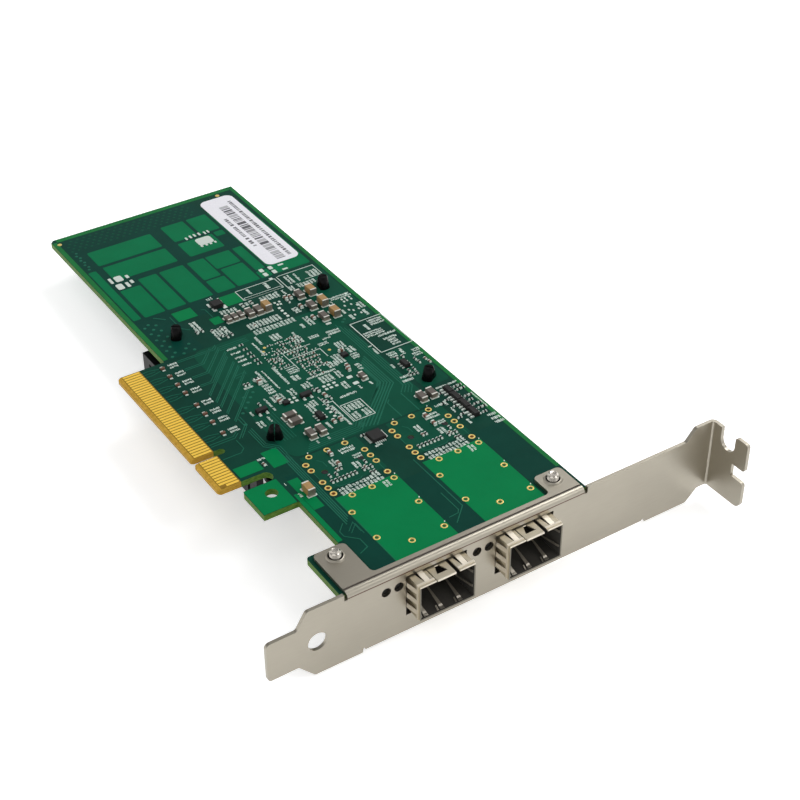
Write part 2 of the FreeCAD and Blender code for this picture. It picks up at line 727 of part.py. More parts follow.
# --- host connectors --------------------------------------------------------
def make_host(port):
    half = HOST_W / 2
    slot_half = HOST_SLOT_W / 2
    body = box(port - half, port + half, HOST_Y0, HOST_Y1, Z_COMP - HOST_H, Z_COMP)
    slot_z = Z_COMP - HOST_SLOT_Z
    z0 = slot_z - HOST_SLOT_H / 2
    z1 = slot_z + HOST_SLOT_H / 2
    slot = box(port - slot_half, port + slot_half, HOST_Y0 - PAST, HOST_Y0 + HOST_SLOT_DEPTH, z0, z1)
    nose_y = HOST_Y0 + HOST_NOSE_L
    nose_z = Z_COMP - HOST_NOSE_GAP
    nose = box(port - half - PAST, port + half + PAST, HOST_Y0 - PAST, nose_y, nose_z, Z_COMP + PAST)
    body = body.cut([slot, nose])
    return body.fuse([make_peg(port + side * PEG_HALF, PEG_Y) for side in (-1, 1)]).removeSplitter()


def make_peg(x, y):
    turn = 2 * math.pi / PEG_SIDES
    r = PEG_D / 2
    ring = [(x + r * math.cos(k * turn), y + r * math.sin(k * turn), 0) for k in range(PEG_SIDES)]
    return prism_z(ring, Z_COMP - SLIVER, Z_COMP + PEG_L)


def make_contacts(port):
    out = []
    slot_z = Z_COMP - HOST_SLOT_Z
    w = CONTACT_W / 2
    y0 = HOST_Y0 + CONTACT_LEAD_IN
    y1 = HOST_Y0 + HOST_SLOT_DEPTH
    for row in (-1, 1):
        z = slot_z + row * (HOST_SLOT_H - CONTACT_T) / 2
        for i in range(CONTACTS_PER_ROW):
            x = port + (i - (CONTACTS_PER_ROW - 1) / 2 + row / 4) * CONTACT_PITCH
            out.append(box(x - w, x + w, y0, y1, z - CONTACT_T / 2, z + CONTACT_T / 2))
    return out


# --- status lights ------------------------------------------------------------
def make_leds():
    bodies = []
    lenses = []
    y0, y1 = LED_BODY_Y
    half = LED_HOLE_D / 2 + LED_WALL
    for x in led_centres():
        bodies.append(box(x - half, x + half, y0, y1, Z_COMP - LED_BODY_H, Z_COMP))
        lens = LENS_SIZE / 2
        lenses.append(box(x - lens, x + lens, LENS_FRONT, y0, LED_Z - lens, LED_Z + lens))
    return bodies, lenses


# --- controller and heatsink --------------------------------------------------
def sink_top():
    return Z_COMP - SUBSTRATE_T - LID_T - PAD_T


def make_sink():
    z_base = sink_top() - SINK_BASE_T
    z_tip = z_base - SINK_FINS_H
    base = box(SINK_X0, SINK_X1, SINK_Y0, SINK_Y1, z_base, sink_top())
    pitch_x = (SINK_X1 - SINK_X0 - FIN_T) / (FINS_ACROSS - 1)
    pitch_y = (SINK_Y1 - SINK_Y0 - BLOCK_L) / (BLOCKS_ALONG - 1)
    fins = []
    for i in range(FINS_ACROSS):
        x = SINK_X0 + i * pitch_x
        for k in range(BLOCKS_ALONG):
            y = SINK_Y0 + k * pitch_y
            if not near_pin(x + FIN_T / 2, y + BLOCK_L / 2):
                fins.append(box(x, x + FIN_T, y, y + BLOCK_L, z_tip, z_base))
    holes = [cyl(x, y, z_base - PAST, sink_top() + PAST, PIN_HOLE_D) for x, y in PIN_AT]
    return base.cut(holes).fuse(fins).removeSplitter()


def near_pin(x, y):
    """True where a fin block would reach into the square kept free round a pin."""
    dx = (PIN_CLEAR + FIN_T) / 2
    dy = (PIN_CLEAR + BLOCK_L) / 2
    return any(abs(x - px) < dx and abs(y - py) < dy for px, py in PIN_AT)


def barb_ring(scale, z):
    """Round with two flats, drawn as eight corners."""
    wide, flat = PIN_BARB
    edge = math.asin(flat / wide)
    r = scale * wide / 2
    side = [V(r * math.cos(k * edge / 3), r * math.sin(k * edge / 3), z) for k in (-3, -1, 1, 3)]
    return side + [V(-q.x, -q.y, z) for q in side]


def make_pin(x, y, turn):
    """Turned head and shaft, and a two-pronged barb that narrows to its tip."""
    z_head = sink_top() - SINK_BASE_T - PIN_HEAD_DROP
    profile = [
        (0, z_head - PIN_HEAD_T),
        (PIN_HEAD_D / 2, z_head - PIN_HEAD_T),
        (PIN_HEAD_D / 2, z_head),
        (PIN_D / 2, z_head),
        (PIN_D / 2, SLIVER),
        (0, SLIVER),
    ]
    barb = frustum(barb_ring(1, 0), barb_ring(PIN_TIP_SCALE, PIN_BARB_H))
    half = PIN_SLIT / 2
    reach = PIN_BARB[0]
    barb = barb.cut(box(-half, half, -reach, reach, PIN_SLIT_Z, PIN_BARB_H + PAST))
    barb.rotate(V(0, 0, 0), V(0, 0, 1), turn)
    barb.translate(V(x, y, 0))
    return turned(x, y, profile).fuse(barb).removeSplitter()


# --- small parts ---------------------------------------------------------------
def under(at, size, chamfer=0):
    """Block hanging from the component face, centred on its (x, y)."""
    x, y = at
    w, l, h = size
    if chamfer:
        return chamfered(x - w / 2, x + w / 2, y - l / 2, y + l / 2, Z_COMP - h, Z_COMP, chamfer)
    return box(x - w / 2, x + w / 2, y - l / 2, y + l / 2, Z_COMP - h, Z_COMP)


def moulded(at, size, z0, up):
    """Moulded body with draft on its four sides; up = 1 grows to +Z, -1 to -Z."""
    x, y = at
    w, l, h = size
    rings = []
    for inset, z in ((0, z0), (DRAFT, z0 + up * h)):
        a = w / 2 - inset
        b = l / 2 - inset
        rings.append([V(x - a, y - b, z), V(x + a, y - b, z), V(x + a, y + b, z), V(x - a, y + b, z)])
    return frustum(*rings[::up])


def over_box(at, size):
    """Box standing on the solder face, centred on its (x, y)."""
    x, y = at
    w, l, h = size
    return box(x - w / 2, x + w / 2, y - l / 2, y + l / 2, 0, h)


def make_chip_caps(places, size):
    """Ceramic bodies and their two metal ends, lying along the longer side."""
    w, l, h = size
    bodies = []
    ends = []
    for x, y in places:
        if l > w:
            bodies.append(over_box((x, y), (w, l - 2 * CAP_END, h)))
            ends += [over_box((x, y + side * (l - CAP_END) / 2), (w, CAP_END, h)) for side in (-1, 1)]
        else:
            bodies.append(over_box((x, y), (w - 2 * CAP_END, l, h)))
            ends += [over_box((x + side * (w - CAP_END) / 2, y), (CAP_END, l, h)) for side in (-1, 1)]
    return bodies, ends


def make_sots():
    bodies = []
    leads = []
    w, l, h = SOT
    for x, y in from_top(SOTS_TOP) + list(SOTS_LOW):
        bodies.append(moulded((x, y), (w, l, h - CHIP_LIFT), CHIP_LIFT, 1))
        for side in (-1, 1):
            for k in (-1, 0, 1):
                at = (x + side * (w + LEAD_OUT) / 2, y + k * SOT_PITCH)
                leads.append(over_box(at, (LEAD_OUT, SOT_LEAD_W, LEAD_T)))
    return bodies, leads


def make_quad():
    x, y = QUAD_AT
    w, l, h = QUAD
    body = moulded(QUAD_AT, (w, l, h - CHIP_LIFT), CHIP_LIFT, 1)
    leads = []
    lead_w = QUAD_PITCH / 2
    for k in range(QUAD_LEADS):
        d = (k - (QUAD_LEADS - 1) / 2) * QUAD_PITCH
        for side in (-1, 1):
            leads.append(over_box((x + side * (w + LEAD_OUT) / 2, y + d), (LEAD_OUT, lead_w, LEAD_T)))
            leads.append(over_box((x + d, y + side * (l + LEAD_OUT) / 2), (lead_w, LEAD_OUT, LEAD_T)))
    return body, leads


def build():
    os.makedirs("parts", exist_ok=True)
    save("circuit_board", make_board())
    save("edge_contacts_solder_side", make_fingers(0, PLATING_T))
    save("edge_contacts_component_side", make_fingers(Z_COMP - PLATING_T, Z_COMP))
    save("bracket", make_bracket())
    save("bracket_screws", [make_screw(x, y) for x, y in SCREW_AT])
    save("sfp_cage_lower", make_cage(PORT_X[0]))
    save("sfp_cage_upper", make_cage(PORT_X[1]))
    save("emi_spring_collars", [make_springs(x) for x in PORT_X])
    save("host_connectors", [make_host(x) for x in PORT_X])
    contacts = []
    for x in PORT_X:
        contacts += make_contacts(x)
    save("host_contacts", contacts)
    leds, lenses = make_leds()
    save("status_led_bodies", leds)
    save("status_led_lenses", lenses)

    save("heatsink", make_sink())
    save("heatsink_push_pins", [make_pin(x, y, turn) for (x, y), turn in zip(PIN_AT, PIN_TURNS)])
    cx, cy = CHIP_AT
    half = LID_SIDE / 2
    lid_z = Z_COMP - SUBSTRATE_T
    pad_z = lid_z - LID_T
    save("controller_substrate", under(CHIP_AT, (CHIP_SIDE, CHIP_SIDE, SUBSTRATE_T)))
    save("controller_lid", chamfered(cx - half, cx + half, cy - half, cy + half, pad_z, lid_z, LID_CHAMFER))
    save("thermal_pad", box(cx - half, cx + half, cy - half, cy + half, pad_z - PAD_T, pad_z))

    inductors = row(INDUCTOR_ROW, INDUCTOR_ROW_Y) + from_top([LONE_INDUCTOR])
    bulk_caps = row(BULK_CAP_ROW, BULK_CAP_ROW_Y) + from_top(LONE_BULK_CAPS)
    transistors = row(POWER_FET_ROW, POWER_FET_ROW_Y)
    save("power_inductors", [under(at, INDUCTOR, INDUCTOR_CHAMFER) for at in inductors])
    save("bulk_capacitors", [moulded(at, BULK_CAP, Z_COMP, -1) for at in bulk_caps])
    save("power_transistors", [moulded(at, POWER_FET, Z_COMP, -1) for at in transistors])
    save("memory_chips", [moulded(at, MEMORY_CHIP, Z_COMP, -1) for at in from_top(MEMORY_CHIPS)])
    save("clock_crystal", under(CRYSTAL_AT, CRYSTAL, CRYSTAL_CHAMFER))
    save("supervisor_chip", moulded(SUPERVISOR_AT, SUPERVISOR, Z_COMP, -1))

    upright = from_top(CAPS_TOP) + list(CAPS_LOW)
    bodies, ends = make_chip_caps(upright, (CAP_W, CAP_L, CAP_H))
    for places, size in ((CAPS_ACROSS, (CAP_L, CAP_W, CAP_H)), (SLIM_CAPS, SLIM_CAP)):
        more, more_ends = make_chip_caps(places, size)
        bodies += more
        ends += more_ends
    tall = from_top(TALL_CAPS_TOP) + list(TALL_CAPS_LOW)
    tall_bodies, tall_ends = make_chip_caps(tall, TALL_CAP)
    save("ceramic_capacitors", bodies)
    save("tall_ceramic_capacitors", tall_bodies)
    save("capacitor_end_caps", ends + tall_ends)
    save("coupling_capacitors", [over_box((COUPLING_X, y), COUPLING) for y in COUPLING_Y])
    chips, leads = make_sots()
    quad, quad_leads = make_quad()
    save("solder_side_chips", chips + [quad, over_box(DIODE_AT, DIODE)])
    save("chip_leads", leads + quad_leads)
    label_x = BOARD_H - LABEL_TOP_GAP
    save("identity_label", slab(label_x - LABEL_W, label_x, LABEL_Y[0], LABEL_Y[1], 0, LABEL_T, LABEL_R))


build()
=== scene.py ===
import bpy
import bmesh
import math
import random
from mathutils import Matrix, Vector

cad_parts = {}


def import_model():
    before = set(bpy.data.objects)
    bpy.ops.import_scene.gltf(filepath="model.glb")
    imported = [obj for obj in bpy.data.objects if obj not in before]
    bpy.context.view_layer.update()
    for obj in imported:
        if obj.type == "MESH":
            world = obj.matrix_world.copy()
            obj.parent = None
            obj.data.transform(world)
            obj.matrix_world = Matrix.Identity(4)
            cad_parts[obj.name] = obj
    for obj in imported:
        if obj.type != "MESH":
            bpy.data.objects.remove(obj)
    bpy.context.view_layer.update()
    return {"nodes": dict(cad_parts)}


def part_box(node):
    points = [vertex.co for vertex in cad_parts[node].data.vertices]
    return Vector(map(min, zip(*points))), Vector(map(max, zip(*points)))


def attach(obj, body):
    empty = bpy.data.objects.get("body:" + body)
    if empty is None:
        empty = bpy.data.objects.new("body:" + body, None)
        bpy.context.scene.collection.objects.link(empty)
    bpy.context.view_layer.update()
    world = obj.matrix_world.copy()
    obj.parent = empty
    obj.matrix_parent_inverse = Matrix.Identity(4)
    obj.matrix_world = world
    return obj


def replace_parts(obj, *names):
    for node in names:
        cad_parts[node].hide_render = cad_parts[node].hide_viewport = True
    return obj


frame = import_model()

MM = 0.001
scene = bpy.context.scene

# --- Card datum -------------------------------------------------------------
# Millimetres as in the CAD: X from the finger edge to the top edge, Y from the
# bracket's outer face to the far end, Z = 0 at the solder face.
board_lo, board_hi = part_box("circuit_board")
bracket_lo, bracket_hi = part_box("bracket")
sink_lo, sink_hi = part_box("heatsink")
BOARD_NEAR = 1.20
BOARD_T = 1.57
DATUM = Vector((board_lo.x, board_lo.y - BOARD_NEAR * MM, board_hi.z))
PORTS = (28.00, 51.20)
CAGE_TOP, CAGE_LIP_Z, CAGE_FLOOR, CAGE_MOUTH = -1.87, -2.20, -10.97, -4.30
FINGER_ZONE, FINGER_Y = 5.90, (44.0, 97.0)


def world(x, y, z=0.0):
    return DATUM + Vector((x, y, z)) * MM


def card_points(node):
    """Corners of a CAD node in card millimetres."""
    obj = frame["nodes"][node]
    return [(obj.matrix_world @ v.co - DATUM) / MM for v in obj.data.vertices]


def put_object(name, data):
    obj = bpy.data.objects.new(name, data)
    scene.collection.objects.link(obj)
    return obj


def turns(n):
    """Angles of n equal steps round a circle."""
    return [2 * math.pi * k / n for k in range(n)]


def linear(level):
    level = level / 255
    return level / 12.92 if level <= 0.04045 else ((level + 0.055) / 1.055) ** 2.4


def rgb(r, g, b):
    """8-bit display colour as the linear colour a shader takes."""
    return (linear(r), linear(g), linear(b), 1.0)


def shade(c, f):
    return (c[0] * f, c[1] * f, c[2] * f, 1.0)


# --- Materials --------------------------------------------------------------
BUMP_DEPTH = 0.02 * MM
LOW_STOP, HIGH_STOP = 0.3, 0.7
# places of the colour sockets on a Mix node
MIX_A, MIX_B, MIX_OUT = 6, 7, 2
WHITE = (1, 1, 1, 1)


class Nodes:
    """Node helpers for the tree of a material or of the world."""

    def __init__(self, tree):
        self.t = tree

    def node(self, kind, inputs=None, **props):
        """New node; each input is given as a plain value or as an output to link."""
        n = self.t.nodes.new(kind)
        for k, v in props.items():
            setattr(n, k, v)
        for socket, value in (inputs or {}).items():
            self.put(value, n.inputs[socket])
        return n

    def link(self, a, b):
        self.t.links.new(a, b)

    def put(self, value, socket):
        if hasattr(value, "is_output"):
            self.link(value, socket)
        else:
            socket.default_value = value

    def maths(self, op, *values):
        return self.node("ShaderNodeMath", dict(enumerate(values)), operation=op).outputs[0]

    def axis(self, vector, name):
        return self.node("ShaderNodeSeparateXYZ", {0: vector}).outputs[name]


class Mat(Nodes):
    """Node material round one Principled shader."""

    def __init__(self, name, colour, rough=0.5, metal=0.0, spec=0.5, coat=0.0, coat_rough=0.1):
        self.m = bpy.data.materials.new(name)
        self.m.use_nodes = True
        super().__init__(self.m.node_tree)
        self.b = self.t.nodes["Principled BSDF"]
        for socket, value in (("Base Color", colour), ("Roughness", rough), ("Metallic", metal),
                              ("Specular IOR Level", spec), ("Coat Weight", coat), ("Coat Roughness", coat_rough)):
            self.b.inputs[socket].default_value = value

    def noise(self, scale, detail=3.0, rough=0.55, stretch=(1, 1, 1)):
        """Noise over object coordinates in millimetres, stretched per axis."""
        place = self.node("ShaderNodeTexCoord").outputs["Object"]
        mapping = self.node("ShaderNodeMapping", {"Vector": place, "Scale": tuple(s / MM for s in stretch)})
        return self.node("ShaderNodeTexNoise", {"Scale": scale, "Detail": detail, "Roughness": rough,
                                                "Vector": mapping.outputs["Vector"]}).outputs["Fac"]

    def normal(self, name):
        return self.axis(self.node("ShaderNodeNewGeometry").outputs["Normal"], name)

    def from_datum(self, name):
        """Distance from the card's datum along one axis, in metres."""
        at = self.axis(self.node("ShaderNodeTexCoord").outputs["Object"], name)
        return self.maths("SUBTRACT", at, DATUM["XYZ".index(name)])

    def ramp(self, fac, *stops):
        r = self.node("ShaderNodeValToRGB")
        els = r.color_ramp.elements
        while len(els) < len(stops):
            els.new(0.5)
        for e, (position, colour) in zip(els, stops):
            e.position, e.color = position, colour
        self.link(fac, r.inputs["Fac"])
        return r.outputs["Color"]

    def between(self, fac, low, high):
        return self.ramp(fac, (LOW_STOP, low), (HIGH_STOP, high))

    def mottle(self, fac, colour, tone):
        return self.between(fac, shade(colour, 1 - tone), shade(colour, 1 + tone))

    def mix(self, fac, a, b):
        return self.node("ShaderNodeMix", {0: fac, MIX_A: a, MIX_B: b}, data_type="RGBA").outputs[MIX_OUT]

    def spread(self, fac, low, high):
        """Maps a 0..1 pattern to low..high."""
        return self.node("ShaderNodeMapRange", {"To Min": low, "To Max": high, "Value": fac}).outputs["Result"]

    def weave(self, base, colour, amount, lift):
        """Glass cloth showing faintly through the mask."""
        cloth = self.noise(1.6, 2.0, 0.5, stretch=(1, 0.35, 1))
        return self.mix(self.spread(cloth, 0.0, amount), base, shade(colour, lift))

    def finish(self, colour, rough=None, height=None, strength=0.0):
        """Links the patterns to the shader and hands the material over."""
        self.link(colour, self.b.inputs["Base Color"])
        if rough is not None:
            self.link(rough, self.b.inputs["Roughness"])
        if height is not None:
            bump = self.node("ShaderNodeBump", {"Strength": strength, "Distance": BUMP_DEPTH, "Height": height})
            self.link(bump.outputs["Normal"], self.b.inputs["Normal"])
        return self.m


def mask_material(name, colour, tone):
    """Cured solder mask: semi-gloss and faintly mottled."""
    m = Mat(name, colour, rough=0.36, spec=0.05)
    base = m.mottle(m.noise(0.11, 3.0, 0.6), colour, tone)
    return m.finish(m.weave(base, colour, 0.22, 1.35), m.spread(m.noise(0.6), 0.28, 0.40), m.noise(2.5, 2.0), 0.10)


def board_material():
    """Mask on both faces, green cut edges, and bare laminate with gold edges round the fingers."""
    base = rgb(12, 60, 48)
    m = Mat("board_mask", base, rough=0.36, spec=0.05)
    mask = m.ramp(m.noise(0.09, 4.0, 0.6), (0.32, shade(base, 0.86)), (0.68, shade(base, 1.16)))
    mask = m.weave(mask, base, 0.18, 1.4)
    raw = m.noise(1.3, 4.0, 0.6, stretch=(1, 1, 3.5))
    laminate = m.ramp(raw, (0.30, rgb(130, 102, 34)), (0.62, rgb(148, 116, 44)), (0.85, rgb(164, 134, 62)))
    edge_gold = m.between(raw, rgb(176, 134, 48), rgb(214, 172, 72))
    edge_green = m.between(raw, rgb(58, 104, 34), rgb(114, 144, 66))
    flat = m.maths("GREATER_THAN", m.maths("ABSOLUTE", m.normal("Z")), 0.999)
    by_edge = m.maths("LESS_THAN", m.maths("DIVIDE", m.from_datum("X"), MM), FINGER_ZONE)
    beyond = m.maths("GREATER_THAN", m.from_datum("Y"), FINGER_Y[0] * MM)
    before = m.maths("LESS_THAN", m.from_datum("Y"), FINGER_Y[1] * MM)
    bare = m.maths("MULTIPLY", by_edge, m.maths("MULTIPLY", beyond, before))
    colour = m.mix(flat, m.mix(bare, edge_green, edge_gold), m.mix(bare, mask, laminate))
    return m.finish(colour, m.spread(m.noise(0.7), 0.30, 0.44), m.noise(2.5, 2.0), 0.10)


def metal_material(name, colour, rough, grain=(1, 1, 1), grain_scale=1.2, depth=0.12, tone=0.08, spread=0.08,
                   metal=1.0):
    """Plated or drawn metal, its grain stretched per axis."""
    m = Mat(name, colour, rough=rough, metal=metal)
    g = m.noise(grain_scale, 5.0, 0.65, stretch=grain)
    base = m.mottle(m.noise(0.05, 3.0, 0.6), colour, tone)
    worn = m.mix(m.spread(g, 0.0, 0.5), base, shade(colour, 1 - 2 * tone))
    return m.finish(worn, m.spread(g, rough - spread, rough + spread), g, depth)


def plain_material(name, colour, rough, spec, grain=3.0, tone=0.10, depth=0.15):
    m = Mat(name, colour, rough=rough, spec=spec)
    g = m.noise(grain, 4.0, 0.6)
    patches = m.spread(m.noise(grain * 0.4), rough - 0.06, rough + 0.06)
    return m.finish(m.mottle(g, colour, tone), patches, g, depth)


def cage_material():
    """Nickel plate, with painted shade on the walls' ends at the mouth, apart from the board-side lip."""
    m = Mat("cage_plating", rgb(194, 184, 162), rough=0.24, metal=0.85)
    g = m.noise(1.5, 5.0, 0.65, stretch=(1, 0.3, 1))
    plate = m.between(m.noise(0.05), rgb(184, 174, 151), rgb(202, 193, 172))
    # painted shade: the walls' ends facing the mouth turn darker grey below the lip
    end = m.maths("LESS_THAN", m.normal("Y"), -0.9)
    below_lip = m.maths("LESS_THAN", m.from_datum("Z"), CAGE_LIP_Z * MM)
    colour = m.mix(m.maths("MULTIPLY", end, below_lip), plate, rgb(112, 108, 98))
    return m.finish(colour, m.spread(g, 0.27, 0.31))


def cap_end_material():
    """Tinned ends: bright on top, with a painted dark reflection down their upright faces."""
    m = Mat("cap_end_tin", rgb(232, 230, 222), rough=0.34, metal=0.40)
    upright = m.maths("LESS_THAN", m.normal("Z"), 0.5)
    g = m.noise(2.0, 5.0, 0.65)
    bright = m.between(g, rgb(222, 220, 210), rgb(240, 238, 230))
    # painted dark reflection on the upright faces of the ends
    dark_side_reflection = m.between(g, rgb(112, 105, 94), rgb(150, 142, 128))
    return m.finish(m.mix(upright, bright, dark_side_reflection), m.spread(g, 0.26, 0.42))


# grey lens, darkened partly as painted shade inside the light holes
def lens_material():
    m = Mat("led_lens", rgb(34, 34, 32), rough=0.4, spec=0.3)
    return m.finish(m.between(m.noise(1.2), rgb(22, 22, 20), rgb(46, 45, 42)), m.spread(m.noise(2.0), 0.35, 0.5))


def label_material():
    m = Mat("label_paper", rgb(226, 226, 230), rough=0.42, spec=0.4, coat=0.2, coat_rough=0.3)
    g = m.noise(2.2, 4.0)
    return m.finish(m.between(g, rgb(234, 233, 240), rgb(244, 243, 248)), m.spread(m.noise(0.5), 0.36, 0.5), g, 0.05)


BOARD = board_material()
FIELD = mask_material("mask_over_copper", rgb(0, 120, 68), 0.05)
FIELD_B = mask_material("mask_over_plane", rgb(0, 109, 68), 0.07)
FIELD_C = mask_material("mask_over_centre", rgb(12, 74, 56), 0.10)
DARK = mask_material("mask_over_laminate", rgb(8, 60, 50), 0.08)
TRACE = mask_material("mask_over_traces", rgb(34, 100, 80), 0.08)
BORDER = mask_material("mask_border", rgb(30, 112, 58), 0.14)
GOLD = metal_material("gold_plating", rgb(252, 208, 74), 0.36, (0.4, 1.6, 1), 0.8, 0.03, 0.03, metal=0.10)
RING_GOLD = metal_material("hole_plating", rgb(236, 206, 118), 0.34, grain_scale=1.5, depth=0.04, tone=0.05, metal=0.4)
TIN = metal_material("solder_tin", rgb(230, 240, 232), 0.36, grain_scale=3.0, depth=0.25, metal=0.45)
STEEL = metal_material("bracket_steel", rgb(167, 161, 148), 0.36, (0.12, 1.6, 1.6), 2.2, 0.10, 0.05)
SCREW = metal_material("screw_steel", rgb(204, 198, 188), 0.26, depth=0.005, tone=0.05, spread=0.03)
CAGE = cage_material()
# painted shade: dark grey for the inner faces of the cages
CAGE_INSIDE_SHADE = plain_material("cage_inside_shade", rgb(66, 64, 60), 0.45, 0.4, 1.5, 0.12)
# painted shade for dark gaps: round each screw, beside the collar fingers and behind the bracket's cut-outs
GAP_SHADE = plain_material("gap_painted_shade", rgb(14, 12, 10), 0.6, 0.2, 3.0, 0.2)
# painted shade for the crease below the bracket's bend
CREASE_SHADE = plain_material("crease_shade", rgb(92, 66, 54), 0.6, 0.3)
SPRING = metal_material("spring_plating", rgb(226, 217, 200), 0.32, (1, 1, 1), 2.0, 0.01, 0.04, 0.02, 0.6)
# plating of the grounding springs, darker than the cage's as painted shade inside the cages
BLADE_SHADED = metal_material("blade_plating_shaded", rgb(162, 156, 144), 0.34, (1, 1, 1), 2.0, 0.01, 0.04, 0.02, 0.8)
BLACK = plain_material("black_plastic", rgb(20, 20, 21), 0.42, 0.5, 4.0, 0.25)
NYLON = plain_material("black_nylon", rgb(4, 4, 5), 0.24, 0.12, 2.0, 0.3, 0.02)
PACKAGE = plain_material("chip_black", rgb(24, 23, 23), 0.52, 0.3, 6.0, 0.18, 0.3)
ANODISED = plain_material("black_anodised", rgb(14, 14, 16), 0.42, 0.25, 2.2, 0.25, 0.1)
FERRITE = plain_material("ferrite", rgb(58, 58, 60), 0.6, 0.4, 3.0, 0.25, 0.5)
POLYMER = plain_material("capacitor_black", rgb(30, 28, 27), 0.48, 0.5, 3.0, 0.2)
CERAMIC_GREY = plain_material("ceramic_grey", rgb(94, 87, 80), 0.42, 0.4, 1.6)
CERAMIC_TAN = plain_material("ceramic_tan", rgb(166, 132, 82), 0.42, 0.4, 1.6, 0.12)
CERAMIC_BROWN = plain_material("ceramic_brown", rgb(112, 76, 58), 0.45, 0.5, 2.0, 0.15)
PACK_GREEN = plain_material("package_green", rgb(24, 88, 58), 0.4, 0.5, 1.0)
LID = metal_material("package_lid", rgb(186, 188, 190), 0.38, (1, 0.2, 1))
PAD = plain_material("thermal_pad", rgb(150, 156, 168), 0.75, 0.3, 2.0, 0.08)
CAN = metal_material("crystal_can", rgb(216, 214, 208), 0.25)
PRINT = plain_material("white_print", rgb(212, 226, 217), 0.55, 0.3, 3.0, 0.06)
GREY_PRINT = plain_material("grey_print", rgb(96, 95, 100), 0.6, 0.3, 3.0, 0.06)
PALE_PRINT = plain_material("pale_print", rgb(184, 184, 188), 0.6, 0.3, 3.0, 0.05)
MID_PRINT = plain_material("mid_print", rgb(150, 150, 154), 0.6, 0.3, 3.0, 0.05)
BORE = plain_material("bore_shadow", rgb(118, 70, 18), 0.6, 0.3, 3.0, 0.3)
CAP_END = cap_end_material()
GROOVE = plain_material("groove_shade", rgb(82, 75, 69), 0.6, 0.3)
LENS = lens_material()
PAPER = label_material()

CAD_LOOKS = {
    "circuit_board": BOARD, "edge_contacts_solder_side": GOLD, "edge_contacts_component_side": GOLD,
    "bracket": STEEL, "bracket_screws": SCREW, "sfp_cage_lower": CAGE, "sfp_cage_upper": CAGE,
    "emi_spring_collars": SPRING, "host_connectors": BLACK, "host_contacts": GOLD,
    "status_led_bodies": BLACK, "status_led_lenses": LENS, "heatsink": ANODISED,
    "heatsink_push_pins": NYLON, "controller_substrate": PACK_GREEN, "controller_lid": LID,
    "thermal_pad": PAD, "power_inductors": FERRITE, "bulk_capacitors": POLYMER,
    "power_transistors": PACKAGE, "memory_chips": PACKAGE, "clock_crystal": CAN,
    "supervisor_chip": PACKAGE, "ceramic_capacitors": CERAMIC_GREY, "tall_ceramic_capacitors": CERAMIC_TAN,
    "capacitor_end_caps": CAP_END, "coupling_capacitors": CERAMIC_BROWN, "solder_side_chips": PACKAGE,
    "chip_leads": TIN, "identity_label": PAPER,
}
for node, material in CAD_LOOKS.items():
    mesh = frame["nodes"][node].data
    if not mesh.materials:
        mesh.materials.append(material)
    for i in range(len(mesh.materials)):
        mesh.materials[i] = material


# --- Mesh helpers, in card millimetres --------------------------------------
HOLE_STEPS, MITRE_LIMIT = 24, 0.3


